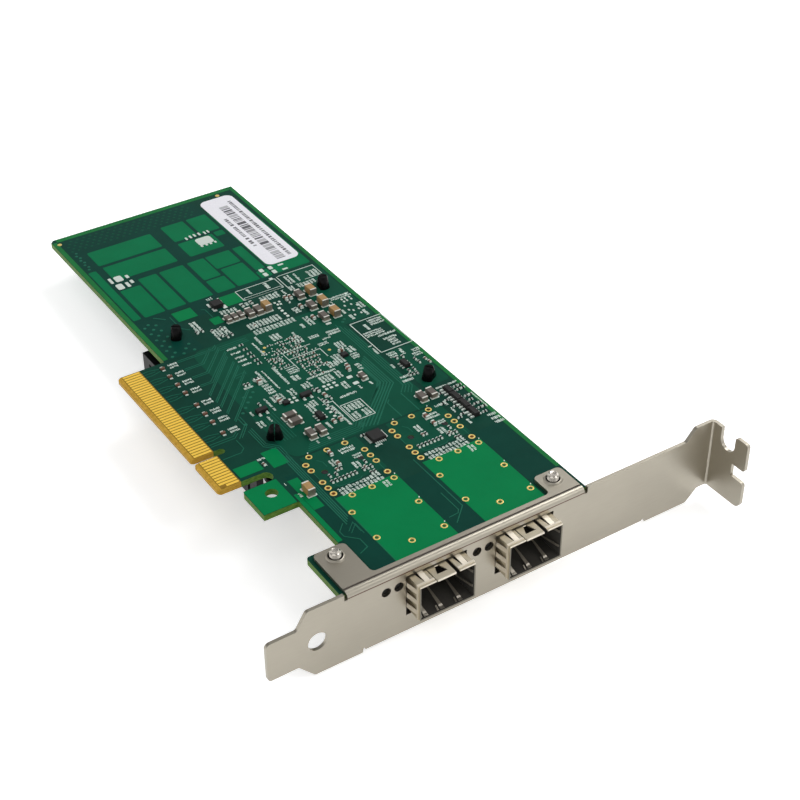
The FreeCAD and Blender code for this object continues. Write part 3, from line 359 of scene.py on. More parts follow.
class Piece:
    """One scene piece.  side = 1 works on the solder face, side = -1 on the component face."""

    def __init__(self, side=1):
        self.verts, self.faces, self.slots = [], [], []
        self.side = side

    def up(self, h):
        """Height off the face worked on, as a card Z."""
        return h if self.side > 0 else -BOARD_T - h

    def add(self, verts, faces, slot=0):
        base = len(self.verts)
        self.verts += verts
        self.faces += [[base + i for i in f] for f in faces]
        self.slots += [slot] * len(faces)

    def loft(self, loops, slot=0, closed=False):
        """Skin over loops of equally many points, joined end to end or capped."""
        n, rows = len(loops[0]), len(loops)
        faces = []
        for i in range(rows if closed else rows - 1):
            a, b = i * n, (i + 1) % rows * n
            faces += [[a + k, a + (k + 1) % n, b + (k + 1) % n, b + k] for k in range(n)]
        if not closed:
            faces += [list(range(n))[::-1], list(range((rows - 1) * n, rows * n))]
        self.add([tuple(p) for loop in loops for p in loop], faces, slot)

    def prism(self, pts, z0, z1, slot=0, taper=0.0):
        """Upright prism over an anticlockwise outline; taper pulls the top in."""
        cx, cy = (sum(p[i] for p in pts) / len(pts) for i in (0, 1))
        top = []
        for x, y in pts:
            k = max(0.0, 1 - taper / (math.hypot(x - cx, y - cy) or 1))
            top.append((cx + (x - cx) * k, cy + (y - cy) * k, self.up(z1)))
        self.loft([[(x, y, self.up(z0)) for x, y in pts], top], slot)

    def rect(self, x0, x1, y0, y1, z0, z1, slot=0, taper=0.0):
        self.prism([(x0, y0), (x1, y0), (x1, y1), (x0, y1)], z0, z1, slot, taper)

    def rounded(self, x0, x1, y0, y1, z0, z1, r, slot=0, steps=3, taper=0.0):
        pts = []
        for cx, cy, a0 in ((x1 - r, y0 + r, -90), (x1 - r, y1 - r, 0), (x0 + r, y1 - r, 90), (x0 + r, y0 + r, 180)):
            for k in range(steps + 1):
                a = math.radians(a0 + 90 * k / steps)
                pts.append((cx + r * math.cos(a), cy + r * math.sin(a)))
        self.prism(pts, z0, z1, slot, taper)

    def lathe(self, x, y, profile, n=20, slot=0, closed=False):
        """Turns (radius, height) points about an upright axis."""
        self.loft([[(x + r * math.cos(a), y + r * math.sin(a), self.up(h)) for a in turns(n)] for r, h in profile],
                  slot, closed)

    def holed(self, x0, x1, y0, y1, z0, z1, cx, cy, r):
        """Rectangle with a round hole through it."""
        corners = [math.atan2(y - cy, x - cx) % (2 * math.pi) for x in (x0, x1) for y in (y0, y1)]
        loops = []
        for a in sorted(set(turns(HOLE_STEPS) + corners)):
            reach = []
            for along, lo, hi, centre in ((math.cos(a), x0, x1, cx), (math.sin(a), y0, y1, cy)):
                if abs(along) > 1e-9:
                    reach.append(((hi if along > 0 else lo) - centre) / along)
            near, far = ((cx + t * math.cos(a), cy + t * math.sin(a)) for t in (r, min(reach)))
            loops.append([(*near, self.up(z0)), (*far, self.up(z0)), (*far, self.up(z1)), (*near, self.up(z1))])
        self.loft(loops, closed=True)

    def ribbon(self, stations, t):
        """Flat strip t thick through (centre, half width, thickness direction) stations."""
        loops = []
        for mid, half, lift in stations:
            mid, half, lift = Vector(mid), Vector(half), Vector(lift) * t
            loops.append([mid - half, mid + half, mid + half + lift, mid - half + lift])
        self.loft(loops)

    def stroke(self, pts, w, z0, z1):
        """Line of constant width through the points, mitred at its corners."""
        loops = []
        for i, (x, y) in enumerate(pts):
            back = max(0, i - 1)
            dirs = [Vector((b[0] - a[0], b[1] - a[1])).normalized()
                    for a, b in zip(pts[back:i + 1], pts[back + 1:i + 2])]
            along = sum(dirs, Vector((0, 0))).normalized()
            out = Vector((-along.y, along.x))
            k = 1 / max(MITRE_LIMIT, out.dot(Vector((-dirs[0].y, dirs[0].x))))
            dx, dy = out.x * w / 2 * k, out.y * w / 2 * k
            low, high = self.up(z0), self.up(z1)
            loops.append([(x - dx, y - dy, low), (x + dx, y + dy, low), (x + dx, y + dy, high), (x - dx, y - dy, high)])
        self.loft(loops)

    def tube(self, pts, r, n=8):
        """Round wire through 3-D points given with their own heights."""
        pts = [Vector(p) for p in pts]
        loops = []
        for i, p in enumerate(pts):
            t = (pts[min(i + 1, len(pts) - 1)] - pts[max(i - 1, 0)]).normalized()
            a = t.cross(Vector((0, 0, 1)))
            a = a.normalized() if a.length > 1e-4 else Vector((1, 0, 0))
            b = t.cross(a).normalized()
            loops.append([p + (a * math.cos(q) + b * math.sin(q)) * r for q in turns(n)])
        self.loft(loops)

    def cad_faces(self, node, below):
        """Copies the faces of a CAD node that lie wholly below a height."""
        pts = [tuple(q) for q in card_points(node)]
        polygons = [list(p.vertices) for p in frame["nodes"][node].data.polygons]
        self.add(pts, [f for f in polygons if max(pts[i][2] for i in f) < below])

    def build(self, name, materials, slot_name, smooth=None):
        """Makes the object, with edges sharper than the smooth angle kept crisp."""
        mesh = bpy.data.meshes.new(name)
        mesh.from_pydata([tuple(world(*v)) for v in self.verts], [], self.faces)
        for m in materials if isinstance(materials, list) else [materials]:
            mesh.materials.append(m)
        mesh.polygons.foreach_set("material_index", self.slots)
        bm = bmesh.new()
        bm.from_mesh(mesh)
        bmesh.ops.delete(bm, geom=[v for v in bm.verts if not v.link_faces], context="VERTS")
        bmesh.ops.recalc_face_normals(bm, faces=bm.faces)
        if smooth:
            for face in bm.faces:
                face.smooth = True
            for e in bm.edges:
                if len(e.link_faces) == 2 and e.calc_face_angle(0) > math.radians(smooth):
                    e.smooth = False
        bm.to_mesh(mesh)
        bm.free()
        mesh.update()
        obj = put_object(name, mesh)
        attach(obj, "root")
        return obj


rng = random.Random(11)

# --- Solder face: mask over copper areas ------------------------------------
# heights above the face worked on
H_DARK, H_CENTRE, H_FIELD, H_TRACE, H_PRINT, H_PAD = 0.012, 0.018, 0.030, 0.036, 0.046, 0.055
PEG_HALF, PEG_Y, PEG_R = 4.75, 37.70, 0.80
FOOT_HOLE, FOOT_HOLE_R = (9.60, 37.80), 1.50

darks = Piece()
for y0, y1, x0, x1 in (
    (3.7, 25.8, 36.3, 43.4), (10.0, 31.2, 59.7, 67.5), (3.7, 41.0, 14.7, 20.1),
    (96.6, 115.35, 14.2, 23.8), (110.0, 115.35, 29.4, 37.4), (115.4, 163.6, 14.3, 55.3),
):
    darks.rect(x0, x1, y0, y1, 0, H_DARK)
darks.build("mask_dark_areas", DARK, "solder_mask")

centre = Piece()
centre.rounded(19.6, 58.6, 45.6, 96.0, 0, H_CENTRE, 3.0, steps=4)
for c in PORTS:
    for x0, x1, peg in ((c - 7.0, c, c - PEG_HALF), (c + 0.02, c + 8.0, c + PEG_HALF)):
        centre.holed(x0, x1, 31.6, 45.0, 0, H_CENTRE, peg, PEG_Y, PEG_R)
centre.rounded(60.0, 67.3, 52.0, 69.6, 0, H_CENTRE, 1.0)
centre.rounded(57.6, 67.3, 86.0, 115.2, 0, H_CENTRE * 0.8, 1.0)
centre.build("mask_centre_areas", FIELD_C, "solder_mask")

fields = Piece()
for c in PORTS:
    fields.rect(c - 7.8, c + 8.2, 3.6, 28.4, 0, H_FIELD)
for x0, x1, y0, y1 in (
    (14.5, 17.1, 27.6, 39.4), (14.5, 18.5, 45.2, 51.6), (6.4, 12.4, 46.2, 49.9), (13.3, 14.4, 15.7, 34.5),
    (30.8, 33.6, 104.0, 107.2), (37.6, 42.4, 109.9, 114.8), (23.9, 29.3, 110.3, 114.8),
):
    fields.rect(x0, x1, y0, y1, 0, H_FIELD)
fields.holed(4.5, 12.8, 32.1, 41.6, 0, H_FIELD, *FOOT_HOLE, FOOT_HOLE_R)
fields.build("mask_copper_fields", FIELD, "solder_mask")

planes = Piece()
for y0, y1, x0, x1 in (
    (116.9, 126.9, 44.7, 51.3), (127.6, 134.6, 44.1, 51.3), (116.9, 123.7, 38.6, 44.0), (124.4, 134.6, 38.6, 43.6),
    (121.2, 134.6, 52.4, 55.2), (116.9, 134.6, 30.3, 37.3), (116.9, 134.6, 24.1, 29.4), (116.9, 131.8, 17.6, 23.4),
    (117.0, 144.6, 14.4, 16.6), (137.1, 145.0, 18.8, 37.3), (146.3, 154.2, 18.4, 37.3), (137.1, 144.9, 41.1, 51.6),
    (146.3, 155.4, 41.1, 48.0), (146.3, 155.4, 49.0, 55.0), (142.7, 145.2, 52.2, 55.0), (117.0, 156.0, 55.9, 66.7),
    (116.9, 120.5, 51.9, 55.2),
):
    planes.rounded(x0, x1, y0, y1, 0, H_FIELD, 0.4, steps=2)
planes.build("mask_power_planes", FIELD_B, "solder_mask")

border = Piece()
for x0, x1, y0, y1 in ((67.75, 68.82, 10.6, 165.5), (12.75, 14.00, 97.0, 164.0), (14.2, 67.6, 163.9, 165.5),
                       (13.2, 13.3, 15.5, 31.6)):
    border.rect(x0, x1, y0, y1, 0, H_FIELD * 0.9)
border.build("mask_borders", BORDER, "solder_mask")

# --- Traces -----------------------------------------------------------------
traces = Piece()


def run(pts, w=0.20, copies=1, step=(0.0, 0.0)):
    """Trace through (y, x) points, repeated side by side; neighbours differ slightly in height."""
    for k in range(copies):
        traces.stroke([(x + k * step[0], y + k * step[1]) for y, x in pts], w, 0, H_TRACE + 0.001 * (k % 3))


PAIR_Y = (62.9, 68.0, 71.8, 76.0, 81.8, 85.8, 89.9, 93.9)
PAIR_GAP = 0.62
for y in PAIR_Y:
    for s in (-1, 1):
        run([(y + s * 0.95, 6.1), (y + s * 1.10, 7.6), (y + s * 0.75, 9.2), (y + s * 0.45, 10.2)], 0.17)
    run([(y, 6.1), (y, 9.0)], 0.15)
for i, (y, rise) in enumerate(((65.2, 15.6), (68.9, 15.5), (72.0, 15.5), (74.3, 15.5), (77.6, 15.5))):
    top = 27.6 - 0.2 * i
    for d in (0.0, PAIR_GAP):
        run([(y + d, rise), (y + d + (top - rise) * 1.08, top)], 0.22)
for y, rise in ((82.2, 18.6), (86.3, 19.6), (90.3, 20.4), (94.3, 25.5)):
    end = min(26.6, rise + (96.2 - y) * 0.72) if y > 85 else 27.4
    for d in (0.0, PAIR_GAP):
        run([(y + d, 15.4), (y + d, rise - d * 0.4), (y + d + (end - rise) * 1.08, end)], 0.22)
for k in range(6):
    o = 0.98 * k
    run([(46.0 + o * 0.30, 40.4 - o * 0.9 + 2.2), (55.6 + o * 0.52, 52.2 - o * 0.42),
         (58.0 + o * 0.5, 54.9 - o * 0.62), (71.5 - 0.6 * k, 54.9 - o * 0.62)], 0.32)
for k in range(4):
    far = 56.3 + 0.62 * k
    run([(53.6 - 0.4 * k, 54.2 + 0.72 * k), (55.9 - 0.4 * k, far), (87.2 - 1.2 * k, far)], 0.22)
    run([(19.6 + 0.7 * k, 17.9 + 0.52 * k), (45.8 + 0.9 * k, 17.9 + 0.52 * k)], 0.28)
for k in range(5):
    y, x = 46.3 + 0.66 * k, 24.6 - 0.75 * k
    run([(y, 24.0 + 0.5 * k), (y, 38.6 - 0.2 * k), (48.2 + 0.6 * k, 40.6 - 0.4 * k)], 0.2)
    run([(52.5, x), (64.0 - 0.7 * k, x)], 0.16)
for c in PORTS:
    run([(30.9, c - 7.1), (39.0, c - 7.1)], 0.16)
    run([(30.9, c + 7.1), (36.4, c + 7.1)], 0.16)
    run([(32.9, c - 5.2), (31.6, c - 4.7), (31.4, c - 3.4), (31.4, c + 0.9), (31.9, c + 1.6)], 0.18)
    run([(39.0, c - 3.3), (41.0, c - 3.3), (42.3, c - 4.2)], 0.16)
for w, *pts in (
    (0.18, (54.2, 6.3), (54.2, 11.0), (55.4, 12.3), (59.0, 12.3)), (0.26, (45.4, 54.0), (53.4, 54.0)),
    (0.24, (49.0, 40.2), (57.3, 49.3), (60.0, 52.2), (70.6, 52.2)), (0.26, (45.6, 49.2), (51.8, 49.2), (52.8, 50.2)),
    (0.20, (10.0, 15.3), (11.0, 17.7), (14.0, 17.7), (16.6, 15.3), (18.4, 15.3), (20.4, 17.3)),
    (0.22, (6.9, 38.0), (11.0, 42.3), (30.4, 42.3)), (0.20, (9.3, 37.6), (9.5, 40.1), (10.4, 40.8), (17.2, 40.8)),
    (0.14, (3.9, 20.35), (29.0, 20.35)), (0.30, (113.2, 21.6), (115.6, 19.2)),
    (0.22, (105.6, 24.6), (107.4, 22.9), (113.6, 22.9)), (0.18, (107.5, 32.1), (111.8, 32.1), (112.3, 31.2)),
):
    run(pts, w)
run([(93.2, 26.5), (93.2, 34.6)], 0.2, 3, (0.0, 0.75))
run([(59.0, 13.2), (62.8, 16.6), (66.4, 16.6)], 0.2, 2, (0.7, 0.0))
run([(60.6, 6.2), (60.6, 12.4), (61.9, 13.9)], 0.2, 2, (0.0, -0.8))
run([(46.0, 19.6), (51.5, 19.6), (54.0, 17.4), (61.0, 17.4)], 0.22, 3, (-0.55, -0.3))
run([(15.2, 19.5), (18.8, 19.5), (16.6, 17.2)], 0.16, 2, (-0.2, 0.8))
run([(80.5, 24.0), (80.9, 27.2)], 0.18, 2, (0.0, 0.9))
traces.build("mask_traces", TRACE, "solder_mask")

vias, far_vias = Piece(), Piece()


def via(y, x, r=0.42):
    vias.lathe(x, y, [(r, 0), (r, H_TRACE), (r * 0.7, H_TRACE + 0.03), (r * 0.35, H_TRACE + 0.03), (0.12, H_TRACE)], 12)


for y, x in (
    (97.3, 15.4), (100.4, 15.4), (103.0, 15.4), (106.0, 15.4), (109.2, 15.5), (112.4, 15.3), (98.6, 16.8),
    (101.6, 16.9), (104.6, 16.8), (107.6, 16.8), (110.7, 16.9), (113.4, 16.7), (97.1, 18.5), (98.8, 19.9),
    (97.2, 21.5), (100.2, 21.4), (106.0, 18.5), (109.3, 18.4), (112.2, 18.3), (67.2, 18.6), (68.7, 20.2),
    (70.3, 21.7), (71.8, 23.2), (72.6, 21.8), (73.3, 24.7), (63.0, 16.9), (87.3, 58.6), (88.2, 59.6),
):
    via(y, x)
for k in range(8):
    via(146.2 + 1.35 * k, 15.5 + (0.5 if k % 2 else 0), 0.4)
for row in range(5):
    y = 157.1 + 1.35 * row
    for k in range(20):
        x = 15.6 + 1.9 * k + (0.95 if row % 2 else 0.0)
        if x < 53.5 and not (y > 161.6 and 13.0 < x < 16.4):
            far_vias.lathe(x, y, [(0.40, 0), (0.40, 0.024), (0.28, 0.036), (0.12, 0.024)], 10)
vias.build("mask_tented_vias", TRACE, "solder_mask", smooth=40)
far_vias.build("mask_tented_vias_far", FIELD_C, "solder_mask", smooth=40)

# --- Gold-ringed holes of the cages, and fiducials --------------------------
rings, bores, tips = Piece(), Piece(), Piece()
RING_IN, RING_OUT = 0.48, 0.83
RING_ROLL = (RING_OUT - RING_IN) * 0.18


def plated_hole(x, y):
    """Rolled ring, a painted shadow over the bore, and the tip of a cage pin standing in it, in the same painted
    shadow.
    """
    rings.lathe(x, y, [(RING_IN, 0), (RING_OUT, 0), (RING_OUT - RING_ROLL * 0.3, H_PAD - 0.01),
                       (RING_OUT - RING_ROLL, H_PAD), (RING_IN + RING_ROLL, H_PAD), (RING_IN, H_PAD - 0.02)],
                28, closed=True)
    bores.lathe(x, y, [(0.50, 0.0), (0.50, 0.016), (0.30, 0.018)], 20)
    tips.lathe(x + 0.08, y + 0.05, [(0.22, 0.01), (0.22, 0.10), (0.16, 0.20), (0.05, 0.22)], 10)


for c in PORTS:
    spots = [(c - 7.1, y) for y in (12.4, 22.4, 30.1, 32.4, 34.8, 39.7, 42.1)]
    spots += [(c + 7.1, y) for y in (7.6, 17.5, 27.4, 30.1, 34.8, 37.2, 39.7)]
    spots += [(c - 1.3, 7.5), (c + 1.3, 27.4), (c - 3.9, 27.4), (c + 4.6, 44.3), (c - 0.2, 44.3), (c - 5.0, 44.3)]
    for x, y in spots:
        plated_hole(x, y)
for y, x, r in ((162.8, 63.0, 0.62), (162.5, 14.2, 0.62), (88.2, 36.3, 0.42), (86.8, 35.2, 0.34), (78.5, 49.3, 0.40)):
    rings.lathe(x, y, [(r, 0.0), (r, H_PAD - 0.015), (r * 0.86, H_PAD), (r * 0.3, H_PAD + 0.01)], 20)
rings.build("plated_hole_rings", RING_GOLD, "gold", smooth=40)
bores.build("plated_hole_bores", BORE, "solder_mask", smooth=40)
tips.build("cage_pin_tips", BORE, "cage_metal", smooth=40)

# --- Small parts on the solder face -----------------------------------------
small, pads = SOLDER_SIDE = Piece(), Piece()
PART_TIN, PART_BLACK, PART_BROWN = 0, 1, 2
CHIP_SIZE = (1.0, 0.50, 0.34)


def passive(y, x, along="y", kind=PART_BLACK, size=CHIP_SIZE, onto=SOLDER_SIDE):
    """Chip resistor or capacitor, (length, width, height) in size, with end caps and solder fillets."""
    parts, tin = onto
    l, w, h = size

    def box(p, a, half, b, z0, z1, slot, taper):
        """Box 2 half long and 2 b wide, its middle a along the part."""
        if along == "y":
            p.rect(x - b, x + b, y + a - half, y + a + half, z0, z1, slot, taper)
        else:
            p.rect(x + a - half, x + a + half, y - b, y + b, z0, z1, slot, taper)

    end = l * 0.25
    box(parts, 0, l / 2 - end * 0.9, w / 2, 0.03, h, kind, 0.02)
    for s in (-1, 1):
        box(parts, s * (l / 2 - end / 2), end / 2, w / 2 + 0.01, 0.03, h + 0.015, PART_TIN, 0.04)
        box(tin, s * (l / 2 - 0.02), 0.16, w / 2 + 0.04, 0, H_PAD + 0.03, 0, 0.06)


def pad(y, x, ly=0.5, lx=0.5, z=0.0, onto=SOLDER_SIDE):
    onto[1].rounded(x - lx / 2, x + lx / 2, y - ly / 2, y + ly / 2, 0, H_PAD + z, min(lx, ly) * 0.22, 0, 2, 0.03)


def three_lead(y, x, l=2.9, w=1.35, h=1.0):
    """Small dark package lying along X: two leads on its near side and one beyond it."""
    small.rect(x - l / 2, x + l / 2, y - w / 2, y + w / 2, 0.10, h, PART_BLACK, 0.10)
    for u, s in ((-0.95, -1), (0.95, -1), (0.0, 1)):
        near, far = sorted((y + s * (w / 2 - 0.05), y + s * (w / 2 + 0.50)))
        small.rect(x + u - 0.20, x + u + 0.20, near, far, 0.03, 0.42, PART_TIN, 0.08)
        pads.rect(x + u - 0.36, x + u + 0.36, near - 0.35 * (s < 0), far + 0.35 * (s > 0), 0, H_PAD + 0.04, 0, 0.03)


FAN_Y = (82.9, 84.5, 86.4, 88.0, 90.1, 92.3)
for c in PORTS:
    for k in range(11):
        x = c - 5.2 + 1.03 * k
        if abs(x - (c + 2.2)) > 0.6:
            passive(33.65, x)
    for y, d in ((31.7, 4.8), (31.7, 3.9), (35.8, 4.8), (36.9, -1.1)):
        passive(y, c + d)
    for y, d in ((34.2, 3.8), (36.9, -2.0)):
        passive(y, c + d, "y", PART_BROWN)
    for d in (-PEG_HALF, PEG_HALF):
        small.lathe(c + d, PEG_Y, [(0.78, -0.40), (0.78, -0.10), (0.62, -0.02), (0.10, -0.02)], 16, PART_BLACK)
for along, kind, size, spots in (
    ("y", PART_BLACK, CHIP_SIZE, (
        (35.6, 25.0), (35.7, 23.4), (37.0, 26.9), (58.2, 61.9), (60.0, 62.2), (60.1, 60.8), (58.5, 60.0), (61.8, 64.9),
        (63.4, 64.8), (66.0, 62.8), (66.3, 61.2), (58.3, 60.9), (60.3, 37.6), (61.0, 39.0), (68.3, 28.2), (66.0, 37.2),
        (66.9, 28.9), (76.7, 25.4), (76.7, 24.4), (68.0, 23.5), (55.6, 36.9), (57.4, 36.9), (59.2, 36.9), (61.0, 36.9),
        (93.0, 51.6), (99.0, 51.6), (103.0, 51.9), (97.6, 31.0), (97.9, 32.4), (98.7, 30.1), (100.4, 31.8),
        (101.8, 31.4), (101.8, 29.0), (103.4, 26.9), (103.4, 25.4))),
    ("y", PART_BROWN, CHIP_SIZE, ((60.6, 67.2), (62.2, 67.0), (47.6, 13.2), (98.2, 39.2))),
    ("x", PART_BLACK, CHIP_SIZE, (
        (44.3, 37.5), (44.3, 40.2), (38.4, 61.5), (41.9, 61.9), (44.9, 61.4), (47.9, 61.7), (37.6, 60.2), (44.2, 59.9),
        *((y, 66.4) for y in (36.3, 38.2, 40.0, 42.0, 43.8, 47.0, 48.4)),
        *((y, 67.6) for y in (38.2, 40.0, 43.8, 47.0, 48.4)), *((y, 31.9) for y in FAN_Y))),
    ("y", PART_BLACK, (1.4, 0.8, 0.5), ((65.2, 38.0),)), ("x", PART_BLACK, (1.4, 0.8, 0.5), ((77.2, 27.8),)),
    ("y", PART_BLACK, (1.2, 0.7, 0.34), ((108.0, 43.6), (108.0, 41.0))),
    ("y", PART_BROWN, (1.6, 0.8, 0.6), (
        (38.4, 27.3), (42.6, 27.7), (39.0, 53.8), (93.0, 53.3), (99.3, 53.3), (104.6, 53.2), (104.9, 52.0))),
    ("y", PART_BROWN, (1.8, 0.9, 0.7), ((42.2, 53.7),)), ("y", PART_BROWN, (1.6, 0.9, 0.6), ((66.4, 28.1),)),
    ("y", PART_BROWN, (1.6, 0.8, 0.5), ((63.4, 50.3), (62.6, 38.4))),
    ("y", PART_BROWN, (1.5, 0.8, 0.6), ((68.6, 48.7), (69.9, 49.2))),
    ("y", PART_BROWN, (1.4, 0.8, 0.5), ((52.5, 36.5), (52.6, 34.8))),
    ("y", PART_BROWN, (1.5, 1.2, 0.8), ((75.8, 27.9),)), ("x", PART_BROWN, (1.4, 0.8, 0.6), ((76.4, 51.4),)),
):
    for y, x in spots:
        passive(y, x, along, kind, size)
small.rect(50.2, 51.9, 73.5, 75.0, 0.05, 0.80, PART_BLACK, 0.08)
small.rect(28.3, 29.9, 64.3, 65.7, 0.05, 0.70, PART_BLACK, 0.08)
three_lead(65.3, 22.6)
three_lead(65.0, 34.5)

# decoupling parts under the controller: rows between its vias, both ways round
DECOUPLING_SIZE, DECOUPLING_SHARE = (0.86, 0.38, 0.30), 0.60
for y0, y1, x0, x1, sy, sx in ((71.0, 75.4, 40.0, 46.6, 1.45, 0.95), (76.6, 79.8, 40.2, 47.0, 1.5, 1.0),
                               (81.0, 83.0, 36.0, 47.6, 1.35, 0.98), (84.0, 88.6, 37.6, 46.4, 1.4, 0.92),
                               (78.2, 86.6, 34.2, 38.0, 1.5, 1.0)):
    y = y0
    while y < y1:
        x = x0
        while x < x1:
            if rng.random() < DECOUPLING_SHARE:
                kind = PART_BROWN if rng.random() < 0.4 else PART_BLACK
                passive(y + rng.uniform(-0.1, 0.1), x, "y" if rng.random() < 0.6 else "x", kind, DECOUPLING_SIZE)
            elif rng.random() < 0.6:
                pad(y, x, 0.36, 0.36)
            x += sx
        y += sy

# bare pads: length along y, width along x and lift, then where they lie
for ly, lx, z, spots in (
    (0.75, 0.85, 0.02, [(y, x) for x in (41.4, 42.9, 40.1, 31.8, 30.4) for y in (64.6, 65.9)]),
    (1.1, 1.5, 0.03, ((62.9, 47.3), (65.8, 47.3))), (0.7, 0.8, 0.02, ((54.4, 36.1), (56.2, 36.1), (57.8, 36.1))),
    (0.75, 0.5, 0.02, (
        (88.4, 63.0), (91.2, 62.9), (93.4, 63.0), (88.4, 64.9), (90.4, 65.4), (93.2, 64.8), (92.0, 65.9), (95.4, 64.9),
        (96.5, 64.9), (95.4, 66.2), (96.5, 66.2), (95.2, 63.9), (96.4, 63.9), (98.2, 66.2), (90.4, 63.8))),
    (0.7, 1.5, 0.1, ((89.9, 55.3), (88.6, 55.2), (96.2, 55.6), (102.3, 55.5))),
    (0.8, 0.8, 0.03, ((97.5, 48.4), (98.8, 48.4), (100.4, 48.4), (101.8, 48.4))),
    (0.7, 0.6, 0.02, ((103.5, 48.9), (104.6, 48.6), (103.3, 49.7), (104.5, 49.9))),
    (0.75, 1.3, 0.06, ((102.2, 43.4), (102.2, 41.0), (102.8, 38.4), (102.8, 36.6), (102.8, 34.7))),
    (0.5, 0.8, 0.06, [(y + d, 11.0) for y in PAIR_Y for d in (-0.75, 0.75)]),
    (1.7, 1.2, 0.02, ((118.0, 56.2), (118.0, 53.5))), (1.6, 1.2, 0.02, ((120.3, 56.2), (120.3, 53.5))),
    (0.8, 1.0, 0.02, ((115.4, 53.6),)), (0.7, 1.6, 0.02, ((117.7, 59.3), (120.2, 59.3))),
    (1.6, 1.1, 0.02, ((110.3, 37.0), (110.4, 34.1))), (1.9, 0.6, 0.02, ((112.8, 33.7),)),
    (2.4, 0.5, 0.02, ((113.6, 37.3),)), (2.8, 1.9, 0.02, ((133.9, 18.7),)), (2.5, 0.9, 0.02, ((133.8, 20.9),)),
    (2.8, 2.2, 0.02, ((137.7, 20.0),)), (2.8, 0.8, 0.02, ((137.7, 17.8),)),
    (1.6, 0.9, 0.02, ((134.6, 22.4), (137.5, 22.4))), (3.8, 4.6, 0.02, ((142.6, 48.2),)),
    (1.0, 0.7, 0.02, ((140.4, 46.3), (140.4, 47.7), (140.4, 49.0))), (1.0, 0.6, 0.02, ((140.4, 50.4),)),
    (1.5, 0.6, 0.02, ((146.6, 48.6), (146.6, 47.2), (146.5, 45.9))), (1.5, 0.5, 0.02, ((146.3, 50.2),)),
    (1.4, 0.5, 0.02, ((146.5, 51.3),)), (1.3, 0.6, 0.02, ((146.2, 44.5),)),
):
    for y, x in spots:
        pad(y, x, ly, lx, z)

# the row of three-legged parts along the top edge: legs, and the dark bodies between them
ROW_X, ROW_Y, ROW_PITCH, ROW_GAP = 63.95, 37.10, 3.55, 0.65
for k in range(4):
    y = ROW_Y + ROW_PITCH * k
    if k < 3:
        small.rect(ROW_X - 0.76, ROW_X + 0.76, y + 1.43, y + 1.43 + ROW_GAP + 0.04, 0.12, 0.92, PART_BLACK, 0.05)
    for d in (-1.05, 0.0, 1.05):
        small.rect(ROW_X - 1.85, ROW_X - 0.78, y + d - 0.24, y + d + 0.24, 0.03, 0.34, PART_TIN, 0.08)
SMALL_LOOKS = [TIN, PACKAGE, CERAMIC_BROWN]
small.build("small_chip_parts", SMALL_LOOKS, "chip_black")
pads.build("solder_pads", TIN, "tin")

# --- White print: plain outlines, rules and short ticks only ----------------
ink = Piece()


def rule(w, *pts):
    ink.stroke([(x, y) for y, x in pts], w, 0, H_PRINT)


def outline(y0, y1, x0, x1, w=0.18):
    rule(w, (y0, x0), (y1, x0))
    rule(w, (y0, x1), (y1, x1))
    rule(w, (y0, x0 + w * 0.5), (y0, x1 - w * 0.5))
    rule(w, (y1, x0 + w * 0.5), (y1, x1 - w * 0.5))


def ticks(y0, y1, x0, x1, pitch=0.9, along="y", p=ink, fill=0.92):
    """Block of short ticks: rows stacked across, marks running along."""
    lo, hi, start, stop = (x0, x1, y0, y1) if along == "y" else (y0, y1, x0, x1)
    rows = max(1, round((hi - lo) / pitch))
    step = (hi - lo) / rows
    for r in range(rows):
        a0 = lo + r * step + step * 0.12
        a1 = lo + (r + 1) * step - step * 0.16
        if rng.random() > fill:
            continue
        b = start + rng.uniform(0, 0.15)
        while b < stop - 0.2:
            w = rng.choice((0.14, 0.14, 0.20, 0.34))
            inset = rng.choice((0.0, 0.0, 0.18, 0.34)) * (a1 - a0)
            across = (a0 + inset, a1) if rng.random() < 0.5 else (a0, a1 - inset)
            mark = (b, min(b + w, stop))
            p.rect(*(across + mark if along == "y" else mark + across), 0, H_PRINT)
            b += w + rng.choice((0.12, 0.14, 0.18))


